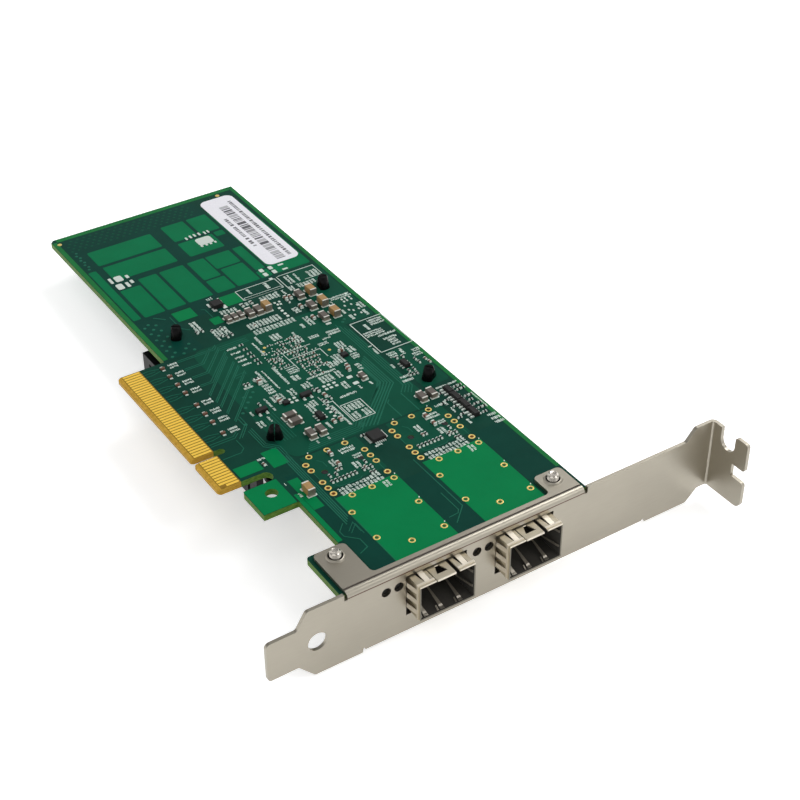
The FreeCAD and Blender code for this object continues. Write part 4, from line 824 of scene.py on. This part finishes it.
for c in PORTS:
    ticks(28.2, 29.6, c - 5.8, c + 5.4, 0.92, fill=1.0)
    ticks(29.8, 31.0, c - 5.8, c + 5.4, 0.92, fill=1.0)
    ticks(25.4, 27.8, c + 3.9, c + 5.6)
    ticks(34.7, 37.2, c + 1.8, c + 3.7, 0.95)
    ticks(38.0, 39.6, c + 3.4, c + 5.8, 0.9, "x")
    ticks(40.9, 43.0, c + 1.8, c + 5.9, 0.9, "x")
    ticks(38.3, 40.8, c - 2.3, c - 0.7, 0.85)
for block in (
    (30.9, 32.2, 66.0, 68.6, 0.9, "x"), (32.4, 33.7, 66.0, 68.6, 0.9, "x"), (34.0, 35.2, 66.0, 68.6, 0.9, "x"),
    (34.3, 36.3, 60.8, 61.7, 1.0), (39.9, 42.2, 60.3, 61.0, 0.8), (43.2, 45.2, 60.3, 61.1, 0.8),
    (43.9, 45.0, 57.6, 60.0, 1.0, "x"), (38.8, 39.8, 37.7, 39.6, 0.9, "x"), (37.5, 44.5, 68.0, 68.5, 0.6),
    (49.8, 50.7, 62.0, 68.0, 0.9, "x"), (56.4, 57.6, 56.9, 60.2, 1.0, "x"), (58.0, 59.2, 57.2, 60.4, 1.0, "x"),
    (59.9, 61.0, 58.5, 59.4, 0.8), (62.8, 64.8, 58.1, 59.0), (66.7, 69.4, 59.9, 62.4, 0.9, "x"),
    (66.6, 69.6, 63.4, 64.5, 1.0), (63.5, 66.0, 65.4, 67.8, 0.9, "x"), (66.2, 67.6, 66.2, 68.6, 0.9, "x"),
    (71.4, 74.4, 63.6, 66.0, 0.95, "x"), (74.4, 75.6, 63.0, 66.8, 0.95, "x"), (76.3, 77.4, 62.4, 67.8, 0.95, "x"),
    (77.6, 80.0, 59.9, 65.4, 0.95, "x"), (80.6, 83.4, 61.9, 63.0), (81.8, 84.6, 63.9, 68.0, 0.95, "x"),
    (70.2, 73.2, 58.1, 58.9, 0.8), (73.9, 74.6, 57.9, 59.2, 0.6, "x"), (50.5, 53.2, 39.6, 44.3, 0.92),
    (53.8, 56.6, 39.6, 44.2, 0.92), (49.3, 58.4, 37.1, 38.0), (59.4, 60.5, 40.8, 45.6, 1.0, "x"),
    (60.6, 61.6, 40.8, 45.6, 1.0, "x"), (62.0, 65.2, 43.9, 45.6, 0.85), (66.9, 69.9, 39.6, 44.2, 0.86),
    (66.9, 70.0, 45.0, 46.6, 0.8), (70.2, 71.2, 38.0, 46.2, 0.9, "x"), (71.6, 73.9, 45.2, 47.9, 0.85),
    (72.0, 76.2, 47.8, 50.4), (71.6, 74.2, 52.2, 54.4, 0.9, "x"), (74.6, 77.2, 52.8, 55.0), (77.4, 80.6, 51.4, 53.8),
    (60.2, 61.8, 50.0, 50.8, 0.8), (60.2, 61.8, 47.0, 47.7, 0.8), (66.9, 69.9, 51.0, 52.4, 0.9, "x"),
    (50.6, 53.6, 32.6, 33.6, 0.95), (57.8, 62.2, 32.2, 33.9), (60.2, 62.8, 33.8, 36.2, 0.8), (57.7, 60.9, 30.7, 31.9),
    (55.0, 57.0, 30.0, 30.8, 0.8), (66.6, 69.8, 31.6, 34.4, 0.86), (67.4, 70.0, 35.6, 38.2, 0.86),
    (66.7, 69.6, 26.8, 30.2), (71.0, 80.0, 30.5, 31.1, 0.6), (70.2, 74.6, 27.6, 29.7, 1.1, "x"),
    (75.0, 80.6, 28.9, 29.9), (75.1, 76.0, 23.5, 26.0, 0.9, "x"), (63.9, 65.2, 25.2, 26.0, 0.8),
    (65.6, 69.6, 25.2, 26.0, 0.8), (60.6, 63.0, 21.6, 24.0, 0.86), (59.7, 62.4, 19.2, 21.0),
    (64.8, 66.8, 19.8, 20.6, 0.8), (62.0, 62.9, 24.6, 27.0, 0.9, "x"), (71.4, 79.6, 33.2, 34.2),
    (71.6, 74.0, 35.2, 37.4), (74.6, 77.0, 35.8, 38.6, 0.9, "x"), (85.2, 91.6, 34.4, 35.2, 0.8),
    (89.8, 93.8, 36.0, 37.0, 0.8), (89.4, 92.4, 39.6, 42.4, 0.8), (85.0, 88.0, 43.6, 46.2, 0.86),
    (87.6, 90.4, 45.1, 45.9, 0.8), (85.0, 86.4, 47.6, 50.6, 0.8, "x"), (81.0, 82.4, 48.0, 51.0, 0.8, "x"),
    (82.9, 83.8, 50.2, 52.6, 0.8, "x"), (83.8, 86.0, 52.4, 56.2, 1.0, "x"), (90.4, 92.6, 48.6, 49.8),
    (94.2, 96.4, 37.2, 50.2, 0.98), (97.0, 99.8, 37.2, 47.6, 0.98), (97.2, 99.9, 49.4, 50.2, 0.8),
    (90.4, 94.8, 50.8, 52.6), (97.2, 100.0, 50.6, 52.6), (106.6, 109.2, 46.2, 54.6, 0.95), (107.0, 108.8, 34.4, 39.2),
    (107.4, 109.2, 40.4, 44.2, 1.4), (97.2, 99.2, 28.4, 30.0, 0.8), (98.8, 102.4, 28.4, 32.8, 0.95),
    (103.0, 108.6, 25.4, 27.4, 1.1), (110.3, 114.6, 55.7, 60.2, 0.92), (110.2, 113.6, 62.8, 66.0, 0.92),
    (107.4, 109.4, 57.6, 63.2, 1.0), (107.3, 109.6, 55.2, 56.6), (111.6, 114.6, 50.3, 51.7, 1.2),
    (111.6, 114.6, 44.2, 46.2, 0.95), (86.6, 89.4, 65.4, 66.6, 1.0), (90.2, 93.2, 66.0, 67.6), (86.8, 89.2, 61.2, 62.4),
    (90.2, 92.2, 60.8, 61.8), (97.0, 99.8, 61.4, 67.2, 0.95, "x"), (96.0, 97.2, 60.6, 61.2, 0.6),
    (32.9, 34.6, 14.1, 15.0), (31.7, 32.5, 15.9, 17.2, 0.8, "x"), (45.8, 46.8, 12.6, 14.8, 0.9, "x"),
    (49.2, 50.2, 12.6, 14.8, 0.9, "x"), (47.4, 48.6, 27.3, 28.1, 0.8), (47.4, 48.6, 30.2, 31.0, 0.8),
    (115.0, 116.2, 34.4, 36.2, 0.6),
):
    ticks(*block)
for y in PAIR_Y:
    for y0, y1 in ((y - 1.0, y), (y + 0.15, y + 1.15)):
        ticks(y0, y1, 12.6, 15.2, 0.95, "x")
for y in FAN_Y:
    ticks(y - 0.5, y + 0.5, 27.8, 30.5, 0.95, "x")
outline(70.4, 85.2, 59.4, 68.7, 0.20)
outline(50.1, 57.0, 39.2, 44.7)
outline(110.0, 114.9, 42.6, 54.4)
outline(110.0, 110.9, 43.0, 54.0, 0.12)
for w, *pts in (
    (0.18, (50.0, 38.75), (59.7, 38.75), (59.7, 35.9)), (0.14, (57.4, 36.6), (63.0, 36.6)),
    (0.18, (76.4, 47.6), (80.3, 47.6), (80.3, 38.8), (75.4, 38.8)), (0.18, (83.4, 38.8), (83.4, 46.6)),
    (0.16, (77.5, 35.8), (77.5, 38.7), (83.6, 38.7)), (0.14, (74.0, 42.4), (74.0, 46.6)),
    (0.18, (107.2, 55.2), (115.3, 55.2)), (0.18, (110.4, 66.3), (115.4, 66.3), (115.4, 55.6)),
    (0.14, (110.2, 61.0), (110.2, 65.4)), (0.14, (38.3, 13.6), (39.2, 13.6)), (0.14, (46.9, 13.6), (47.8, 13.6)),
):
    rule(w, *pts)
for c in PORTS:
    for y, x in ((8.7, c + 7.9), (18.6, c + 7.9), (28.5, c + 7.9), (45.6, c + 5.0), (45.6, c - 4.6)):
        rule(0.22, (y - 0.1, x), (y + 0.3, x + 0.25))
ink.build("white_print", PRINT, "label_paper")

# the label carries plain bars of grey only
label_lo, label_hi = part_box("identity_label")
LABEL_X, LABEL_Y = ((label_lo[i] - DATUM[i]) / MM for i in (0, 1))
LABEL_W, LABEL_L = ((label_hi[i] - label_lo[i]) / MM for i in (0, 1))
LABEL_TOP = (label_hi.z - DATUM.z) / MM
BAR_T = 0.012
bars = Piece()


def label_marks(u0, u1, v0, v1, widths, gaps, shades):
    """Plain cross bars between two shares of the label's width and length."""
    y = LABEL_Y + v0 * LABEL_L
    while y < LABEL_Y + v1 * LABEL_L:
        w = rng.choice(widths)
        x0, x1 = (LABEL_X + u * LABEL_W for u in (u0, u1))
        bars.rect(x0, x1, y, y + w, LABEL_TOP, LABEL_TOP + BAR_T, rng.choice(shades))
        y += w + rng.choice(gaps)


label_marks(0.37, 0.63, 0.04, 0.86, (0.35, 0.5, 0.8, 1.3), (0.25, 0.35, 0.5), (0, 0, 1, 2))
label_marks(0.735, 0.835, 0.05, 0.91, (0.4, 0.55, 0.8), (0.25, 0.3, 0.45), (0, 2))
label_marks(0.17, 0.27, 0.27, 0.70, (0.4, 0.55, 0.8), (0.25, 0.3, 0.9), (0, 2))
bars.build("label_bars", [GREY_PRINT, PALE_PRINT, MID_PRINT], "label_paper")


# --- Component face: small parts, pads, copper and outlines round the CAD's parts
def footprints(node, grow=0.0):
    """Plan boxes of the separate solids of a CAD node, in card millimetres."""
    pts = card_points(node)
    first_at, lead = {}, {}
    for i, q in enumerate(pts):
        lead[i] = first_at.setdefault((round(q.x, 3), round(q.y, 3), round(q.z, 3)), i)

    def find(i):
        while lead[i] != i:
            lead[i] = lead[lead[i]]
            i = lead[i]
        return i

    for poly in frame["nodes"][node].data.polygons:
        first = find(poly.vertices[0])
        for i in poly.vertices:
            lead[find(i)] = first
    solids = {}
    for i, q in enumerate(pts):
        solids.setdefault(find(i), []).append(q)
    return [(min(q.x for q in s) - grow, max(q.x for q in s) + grow,
             min(q.y for q in s) - grow, max(q.y for q in s) + grow) for s in solids.values()]


cap_pads = Piece()
for x0, x1, y0, y1 in footprints("capacitor_end_caps", 0.32):
    cap_pads.rounded(x0, x1, y0, y1, 0, H_PAD + 0.02, 0.2, 0, 2, 0.03)
cap_pads.build("capacitor_pads", TIN, "tin")

SCREW_HEADS = ((9.90, 11.30), (63.60, 6.45))
POWER_PARTS = ("power_inductors", "bulk_capacitors", "power_transistors", "memory_chips", "clock_crystal",
               "supervisor_chip")
taken = [b for node in POWER_PARTS for b in footprints(node, 0.9)] + footprints("heatsink", 0.6)
taken += [(c - 8.4, c + 8.4, 0.0, 46.2) for c in PORTS]
taken += [(x - 4.2, x + 4.2, y - 4.2, y + 4.2) for x, y in SCREW_HEADS]
low_small, low_pads, low_ink, low_copper = (Piece(-1) for _ in range(4))
COMPONENT_SIDE = (low_small, low_pads)
GRID_X, GRID_Y, GRID_STEP = (15.2, 67.4), (8.0, 163.5), (2.35, 2.6)
y = GRID_Y[0]
while y < GRID_Y[1]:
    x = GRID_X[0]
    while x < GRID_X[1]:
        if all(x < b[0] or x > b[1] or y < b[2] or y > b[3] for b in taken):
            pick = rng.random()
            if pick < 0.36:
                kind = PART_BROWN if rng.random() < 0.5 else PART_BLACK
                passive(y, x, "x" if pick < 0.18 else "y", kind, (1.1, 0.6, 0.5), COMPONENT_SIDE)
            elif pick < 0.46:
                pad(y, x, 0.7, 0.7, onto=COMPONENT_SIDE)
            if pick < 0.28:
                ticks(y + 0.75, y + 1.45, x - 0.8, x + 0.8, 0.8, "x", low_ink, 1.0)
        x += GRID_STEP[0]
    y += GRID_STEP[1]
for node in POWER_PARTS:
    for x0, x1, y0, y1 in footprints(node, 0.35):
        for a, b in (((x0, y0), (x1, y0)), ((x0, y1), (x1, y1)), ((x0, y0), (x0, y1)), ((x1, y0), (x1, y1))):
            low_ink.stroke([a, b], 0.16, 0, H_PRINT + 0.004 * (a[0] == b[0]))
for k, (y0, y1, x0, x1) in enumerate((
    (118.5, 131.5, 15.0, 40.5), (118.5, 131.5, 41.2, 66.8), (133.0, 146.5, 15.0, 30.2),
    (133.0, 146.5, 31.0, 52.0), (147.4, 163.2, 15.0, 38.0), (147.4, 163.2, 38.8, 60.0),
)):
    low_copper.rounded(x0, x1, y0, y1, 0, H_DARK + 0.003 * k, 0.8)
low_small.build("component_side_small_parts", SMALL_LOOKS, "chip_black")
low_pads.build("component_side_pads", TIN, "tin")
low_ink.build("component_side_print", PRINT, "label_paper")
low_copper.build("component_side_copper_fields", FIELD_B, "solder_mask")

# --- Bracket: bosses the screws are driven into, with a painted shadow ring, and painted shade along the fold
FLANGE_TOP = 0.86
bosses, screws = Piece(), Piece()
screws.cad_faces("bracket_screws", 0)
thread = [(1.30 if k % 2 else 1.14, 0.62 + 0.22 * k) for k in range(8)]
for x, y in SCREW_HEADS:
    bosses.lathe(x, y, [(1.60, FLANGE_TOP - 0.02), (2.22, FLANGE_TOP - 0.02), (2.12, 0.98), (2.00, 1.18), (1.88, 1.28),
                        (1.74, 1.28), (1.64, 1.14)], 36, closed=True)
    # painted shadow ring between the boss and the screw
    bosses.lathe(x, y, [(1.16, 0.94), (1.66, 0.94), (1.66, 1.00), (1.16, 1.00)], 28, 1, True)
    point = [(1.00, 2.36), (0.84, 2.66), (0.76, 2.70), (0.40, 2.64)]
    screws.lathe(x, y, [(1.46, -1.60), (1.46, 0.55)] + thread + point, 28)
bosses.build("flange_bosses", [STEEL, GAP_SHADE], "bracket_steel", smooth=50)
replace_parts(screws.build("driven_screws", SCREW, "screw_steel", smooth=35), "bracket_screws")

# painted shade: a dark strip in the fold's groove, and a brown one in the crease below the bend
fold = Piece()
FOLD_X = (5.95, 67.55)
fold.rect(*FOLD_X, 1.37, 1.83, FLANGE_TOP - 0.20, FLANGE_TOP - 0.12)
fold.rect(*FOLD_X, -0.012, 0.06, -0.54, -0.28, 1)
fold.build("bracket_fold_lines", [GROOVE, CREASE_SHADE], "bracket_steel")

# --- Push pins: the CAD heads and shafts, with slotted flat-sided barbs above the board
PINS = (((20.30, 55.00), -33), ((20.30, 104.60), 57), ((63.20, 55.00), 32), ((63.20, 104.60), 82))
BARB_FLAT, BARB_SLOT, BARB_STEPS = 1.32, 0.16, 8
SPRING_TOP, SPRING_LOW, SPRING_R, TURNS, TURN_STEPS = -5.86, -10.32, 2.15, 5, 14
pins, coils = Piece(), Piece()
pins.cad_faces("heatsink_push_pins", 0.02)
for (x, y), turn in PINS:
    for half in (0, 180):
        loops = []
        spin = math.radians(turn + half)
        for z, rad in ((0.02, 2.02), (0.30, 2.02), (1.70, 1.62), (3.06, 1.22), (3.20, 1.08)):
            loop = []
            for k in range(BARB_STEPS + 1):
                a = math.radians(-90 + 180 * k / BARB_STEPS)
                u = max(BARB_SLOT, rad * math.cos(a))
                v = max(-BARB_FLAT, min(BARB_FLAT, rad * math.sin(a)))
                cos, sin = math.cos(spin), math.sin(spin)
                loop.append((x + u * cos - v * sin, y + u * sin + v * cos, z))
            loops.append(loop)
        pins.loft(loops)
    path = []
    for k in range(TURNS * TURN_STEPS + 1):
        a = 2 * math.pi * k / TURN_STEPS
        drop = (SPRING_LOW - SPRING_TOP) * k / (TURNS * TURN_STEPS)
        path.append((x + SPRING_R * math.cos(a), y + SPRING_R * math.sin(a), SPRING_TOP + drop))
    coils.tube(path, 0.22, 6)
coils.build("push_pin_springs", SCREW, "screw_steel", smooth=60)
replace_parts(pins.build("split_push_pins", NYLON, "black_nylon", smooth=40), "heatsink_push_pins")

# --- Cages: painted shade inside and on the grounding springs, lips at the mouth, painted shade at gaps, and light pipes
inner_shade, blades, lips, gaps, noses = (Piece() for _ in range(5))
LIGHT_FROM_PORT, LIGHT_STEP, LIGHT_Z = 12.70, 3.15, -3.50
INSIDE_Y = (CAGE_MOUTH + 0.06, 29.5)
# along y, off the wall, half width
FLOOR_BLADE = ((-3.95, 0.04, 0.50), (-3.30, 0.16, 0.50), (-2.90, 0.42, 0.42), (0.60, 1.45, 0.26), (3.60, 2.20, 0.14),
               (4.60, 1.90, 0.12))
SIDE_BLADE = ((-3.95, 0.05, 0.30), (-3.20, 0.30, 0.30), (0.40, 1.05, 0.20), (3.00, 1.30, 0.10))
for c in PORTS:
    # dark sheets over the inner floor and side walls as painted shade inside the cage
    inner_shade.rect(c - 6.74, c + 6.74, *INSIDE_Y, CAGE_FLOOR + 0.005, CAGE_FLOOR + 0.03)
    for side in (-1, 1):
        inner_shade.rect(*sorted((c + side * 6.79, c + side * 6.75)), *INSIDE_Y, CAGE_FLOOR + 0.04, CAGE_TOP - 0.34)
    for d in (-5.2, -1.1, 3.6):
        blades.ribbon([((c + d, y, CAGE_FLOOR + z), (w, 0, 0), (0, 0, 1)) for y, z, w in FLOOR_BLADE], 0.14)
        blades.ribbon([((c + d - 1.15 + 0.2 * k, -3.9 + 1.2 * k, CAGE_FLOOR + 0.04 + 0.35 * k), (0.16, 0, 0), (0, 0, 1))
                       for k in range(2)], 0.12)
    for z in (-8.3, -4.2):
        blades.ribbon([((c + 6.74 - o, y, z), (0, 0, w), (-1, 0, 0)) for y, o, w in SIDE_BLADE], 0.14)
    lips.rect(c - 2.62, c + 2.02, CAGE_MOUTH - 0.10, CAGE_MOUTH + 0.10, CAGE_TOP - 0.34, CAGE_TOP + 0.10, 0, 0.03)
    for x0, x1 in ((c - 7.05, c - 2.9), (c + 3.1, c + 7.05)):
        lips.rect(x0, x1, CAGE_MOUTH - 0.03, CAGE_MOUTH + 0.16, CAGE_TOP - 0.20, CAGE_TOP + 0.03)
    # painted shade in the gaps beside each collar finger
    for x in (c - 4.50, c + 5.10):
        gaps.prism([(x - 0.66, -0.1), (x - 1.25, -0.1), (x - 0.66, -3.05)], CAGE_TOP, CAGE_TOP + 0.03)
        gaps.rect(x + 0.68, x + 0.82, -3.05, -0.1, CAGE_TOP, CAGE_TOP + 0.02)
    # dark sheets just behind the bracket, below and beside each cage, as painted shade in its cut-out
    gaps.rect(c - 8.60, c + 8.60, 0.92, 1.02, CAGE_FLOOR - 2.10, CAGE_FLOOR - 0.34)
    for x0, x1 in ((c - 8.60, c - 7.14), (c + 7.14, c + 8.60)):
        gaps.rect(x0, x1, 0.92, 1.02, CAGE_FLOOR - 0.30, CAGE_TOP - 0.05)
    # light pipe noses in the lens colour, which partly carries painted shade
    for k in range(2):
        x = c - LIGHT_FROM_PORT + LIGHT_STEP * k
        noses.tube([(x, 0.95, LIGHT_Z), (x, 3.02, LIGHT_Z)], 1.40, 20)
noses.build("light_pipe_noses", LENS, "led_lens", smooth=50)
inner_shade.build("cage_inner_painted_shade", CAGE_INSIDE_SHADE, "cage_metal")
blades.build("cage_ground_springs", BLADE_SHADED, "cage_metal")
lips.build("cage_mouth_lips", SPRING, "cage_metal")
gaps.build("collar_gap_painted_shade", GAP_SHADE, "cage_metal")


# --- Floor, light and camera ------------------------------------------------
FLOOR_HALF, FLOOR_GLOW, FLOOR_DROP, SINK_END_INSET = 4.0, 0.50, 0.0004, 0.010


def floor_plane():
    """The card rests on the bracket's lower edge and the heatsink's far corners."""
    m = Mat("floor_white", rgb(250, 250, 250), rough=0.9, spec=0.1)
    m.finish(m.between(m.noise(0.02, 2.0), rgb(248, 248, 248), rgb(252, 252, 252)))
    ray = m.node("ShaderNodeLightPath").outputs
    shiny = m.maths("MAXIMUM", ray["Is Glossy Ray"], ray["Is Transmission Ray"])
    seen = m.maths("MAXIMUM", ray["Is Camera Ray"], shiny)
    glow = m.node("ShaderNodeEmission", {"Color": WHITE, "Strength": m.maths("MULTIPLY", seen, FLOOR_GLOW)})
    lit = m.node("ShaderNodeAddShader", {0: m.b.outputs[0], 1: glow.outputs[0]})
    # from below the card is seen through it
    below = m.node("ShaderNodeNewGeometry").outputs["Backfacing"]
    clear = m.node("ShaderNodeBsdfTransparent").outputs[0]
    either = m.node("ShaderNodeMixShader", {0: below, 1: lit.outputs[0], 2: clear})
    m.link(either.outputs[0], m.t.nodes["Material Output"].inputs["Surface"])
    rise = (sink_lo.z - bracket_lo.z) / (sink_hi.y - bracket_hi.y + SINK_END_INSET)
    base, y0, s = bracket_lo.z - FLOOR_DROP, DATUM.y + MM, FLOOR_HALF
    mesh = bpy.data.meshes.new("floor")
    corners = [(x, y, base + (y - y0) * rise) for x, y in ((-s, -s), (s, -s), (s, s), (-s, s))]
    mesh.from_pydata(corners, [], [[0, 1, 2, 3]])
    mesh.materials.append(m.m)
    put_object("floor", mesh)


def lamp(name, place, size, power):
    """Square area lamp turned to the origin."""
    data = bpy.data.lights.new(name, "AREA")
    data.shape = "RECTANGLE"
    data.size = data.size_y = size
    data.energy = power
    obj = put_object(name, data)
    obj.location = place
    obj.rotation_mode = "QUATERNION"
    obj.rotation_quaternion = (-Vector(place)).to_track_quat("-Z", "Y")


floor_plane()
lamp("key", (0.62, 0.20, 0.80), 0.45, 3.7)
lamp("front", (-0.45, -0.20, 0.95), 0.8, 1.9)
lamp("fold", (0.46, -0.60, 0.66), 0.40, 1.5)

studio = bpy.data.worlds.new("studio")
scene.world = studio
studio.use_nodes = True
sky = Nodes(studio.node_tree)
height = sky.axis(sky.node("ShaderNodeTexCoord").outputs["Generated"], "Z")
CEILING = 0.34


def walls(strength):
    """Pale walls down to the floor, with a greyer ceiling above them."""
    stops = {"From Min": 0.26, "From Max": 0.56, "To Min": strength, "To Max": CEILING, "Value": height}
    return sky.node("ShaderNodeMapRange", stops, interpolation_type="SMOOTHSTEP").outputs["Result"]


# white all round for the camera, and white walls for metal and glass to show
ray = sky.node("ShaderNodeLightPath").outputs
shiny = sky.maths("MAXIMUM", ray["Is Glossy Ray"], ray["Is Transmission Ray"])
shown = sky.maths("MAXIMUM", sky.maths("MULTIPLY", walls(1.0), shiny), ray["Is Camera Ray"])
background = sky.t.nodes["Background"].inputs
background["Color"].default_value = WHITE
sky.link(sky.maths("MAXIMUM", walls(0.92), shown), background["Strength"])

# the camera stands where the photograph was taken from, in the card's own datum
cam_data = bpy.data.cameras.new("camera")
cam_data.sensor_width = 36.0
cam_data.lens = 74.48
cam_data.clip_start = 0.02
cam_data.clip_end = 20.0
cam = put_object("camera", cam_data)
eye = world(-121.04, -214.755, 232.92)
forward = Vector((0.440299, 0.675434, -0.591546)).normalized()
upward = Vector((0.327614, 0.492559, 0.806259)).normalized()
right = forward.cross(upward).normalized()
upward = right.cross(forward).normalized()
turn = Matrix((right, upward, -forward)).transposed().to_4x4()
cam.matrix_world = Matrix.Translation(eye) @ turn
scene.camera = cam
scene.view_settings.view_transform = "Standard"
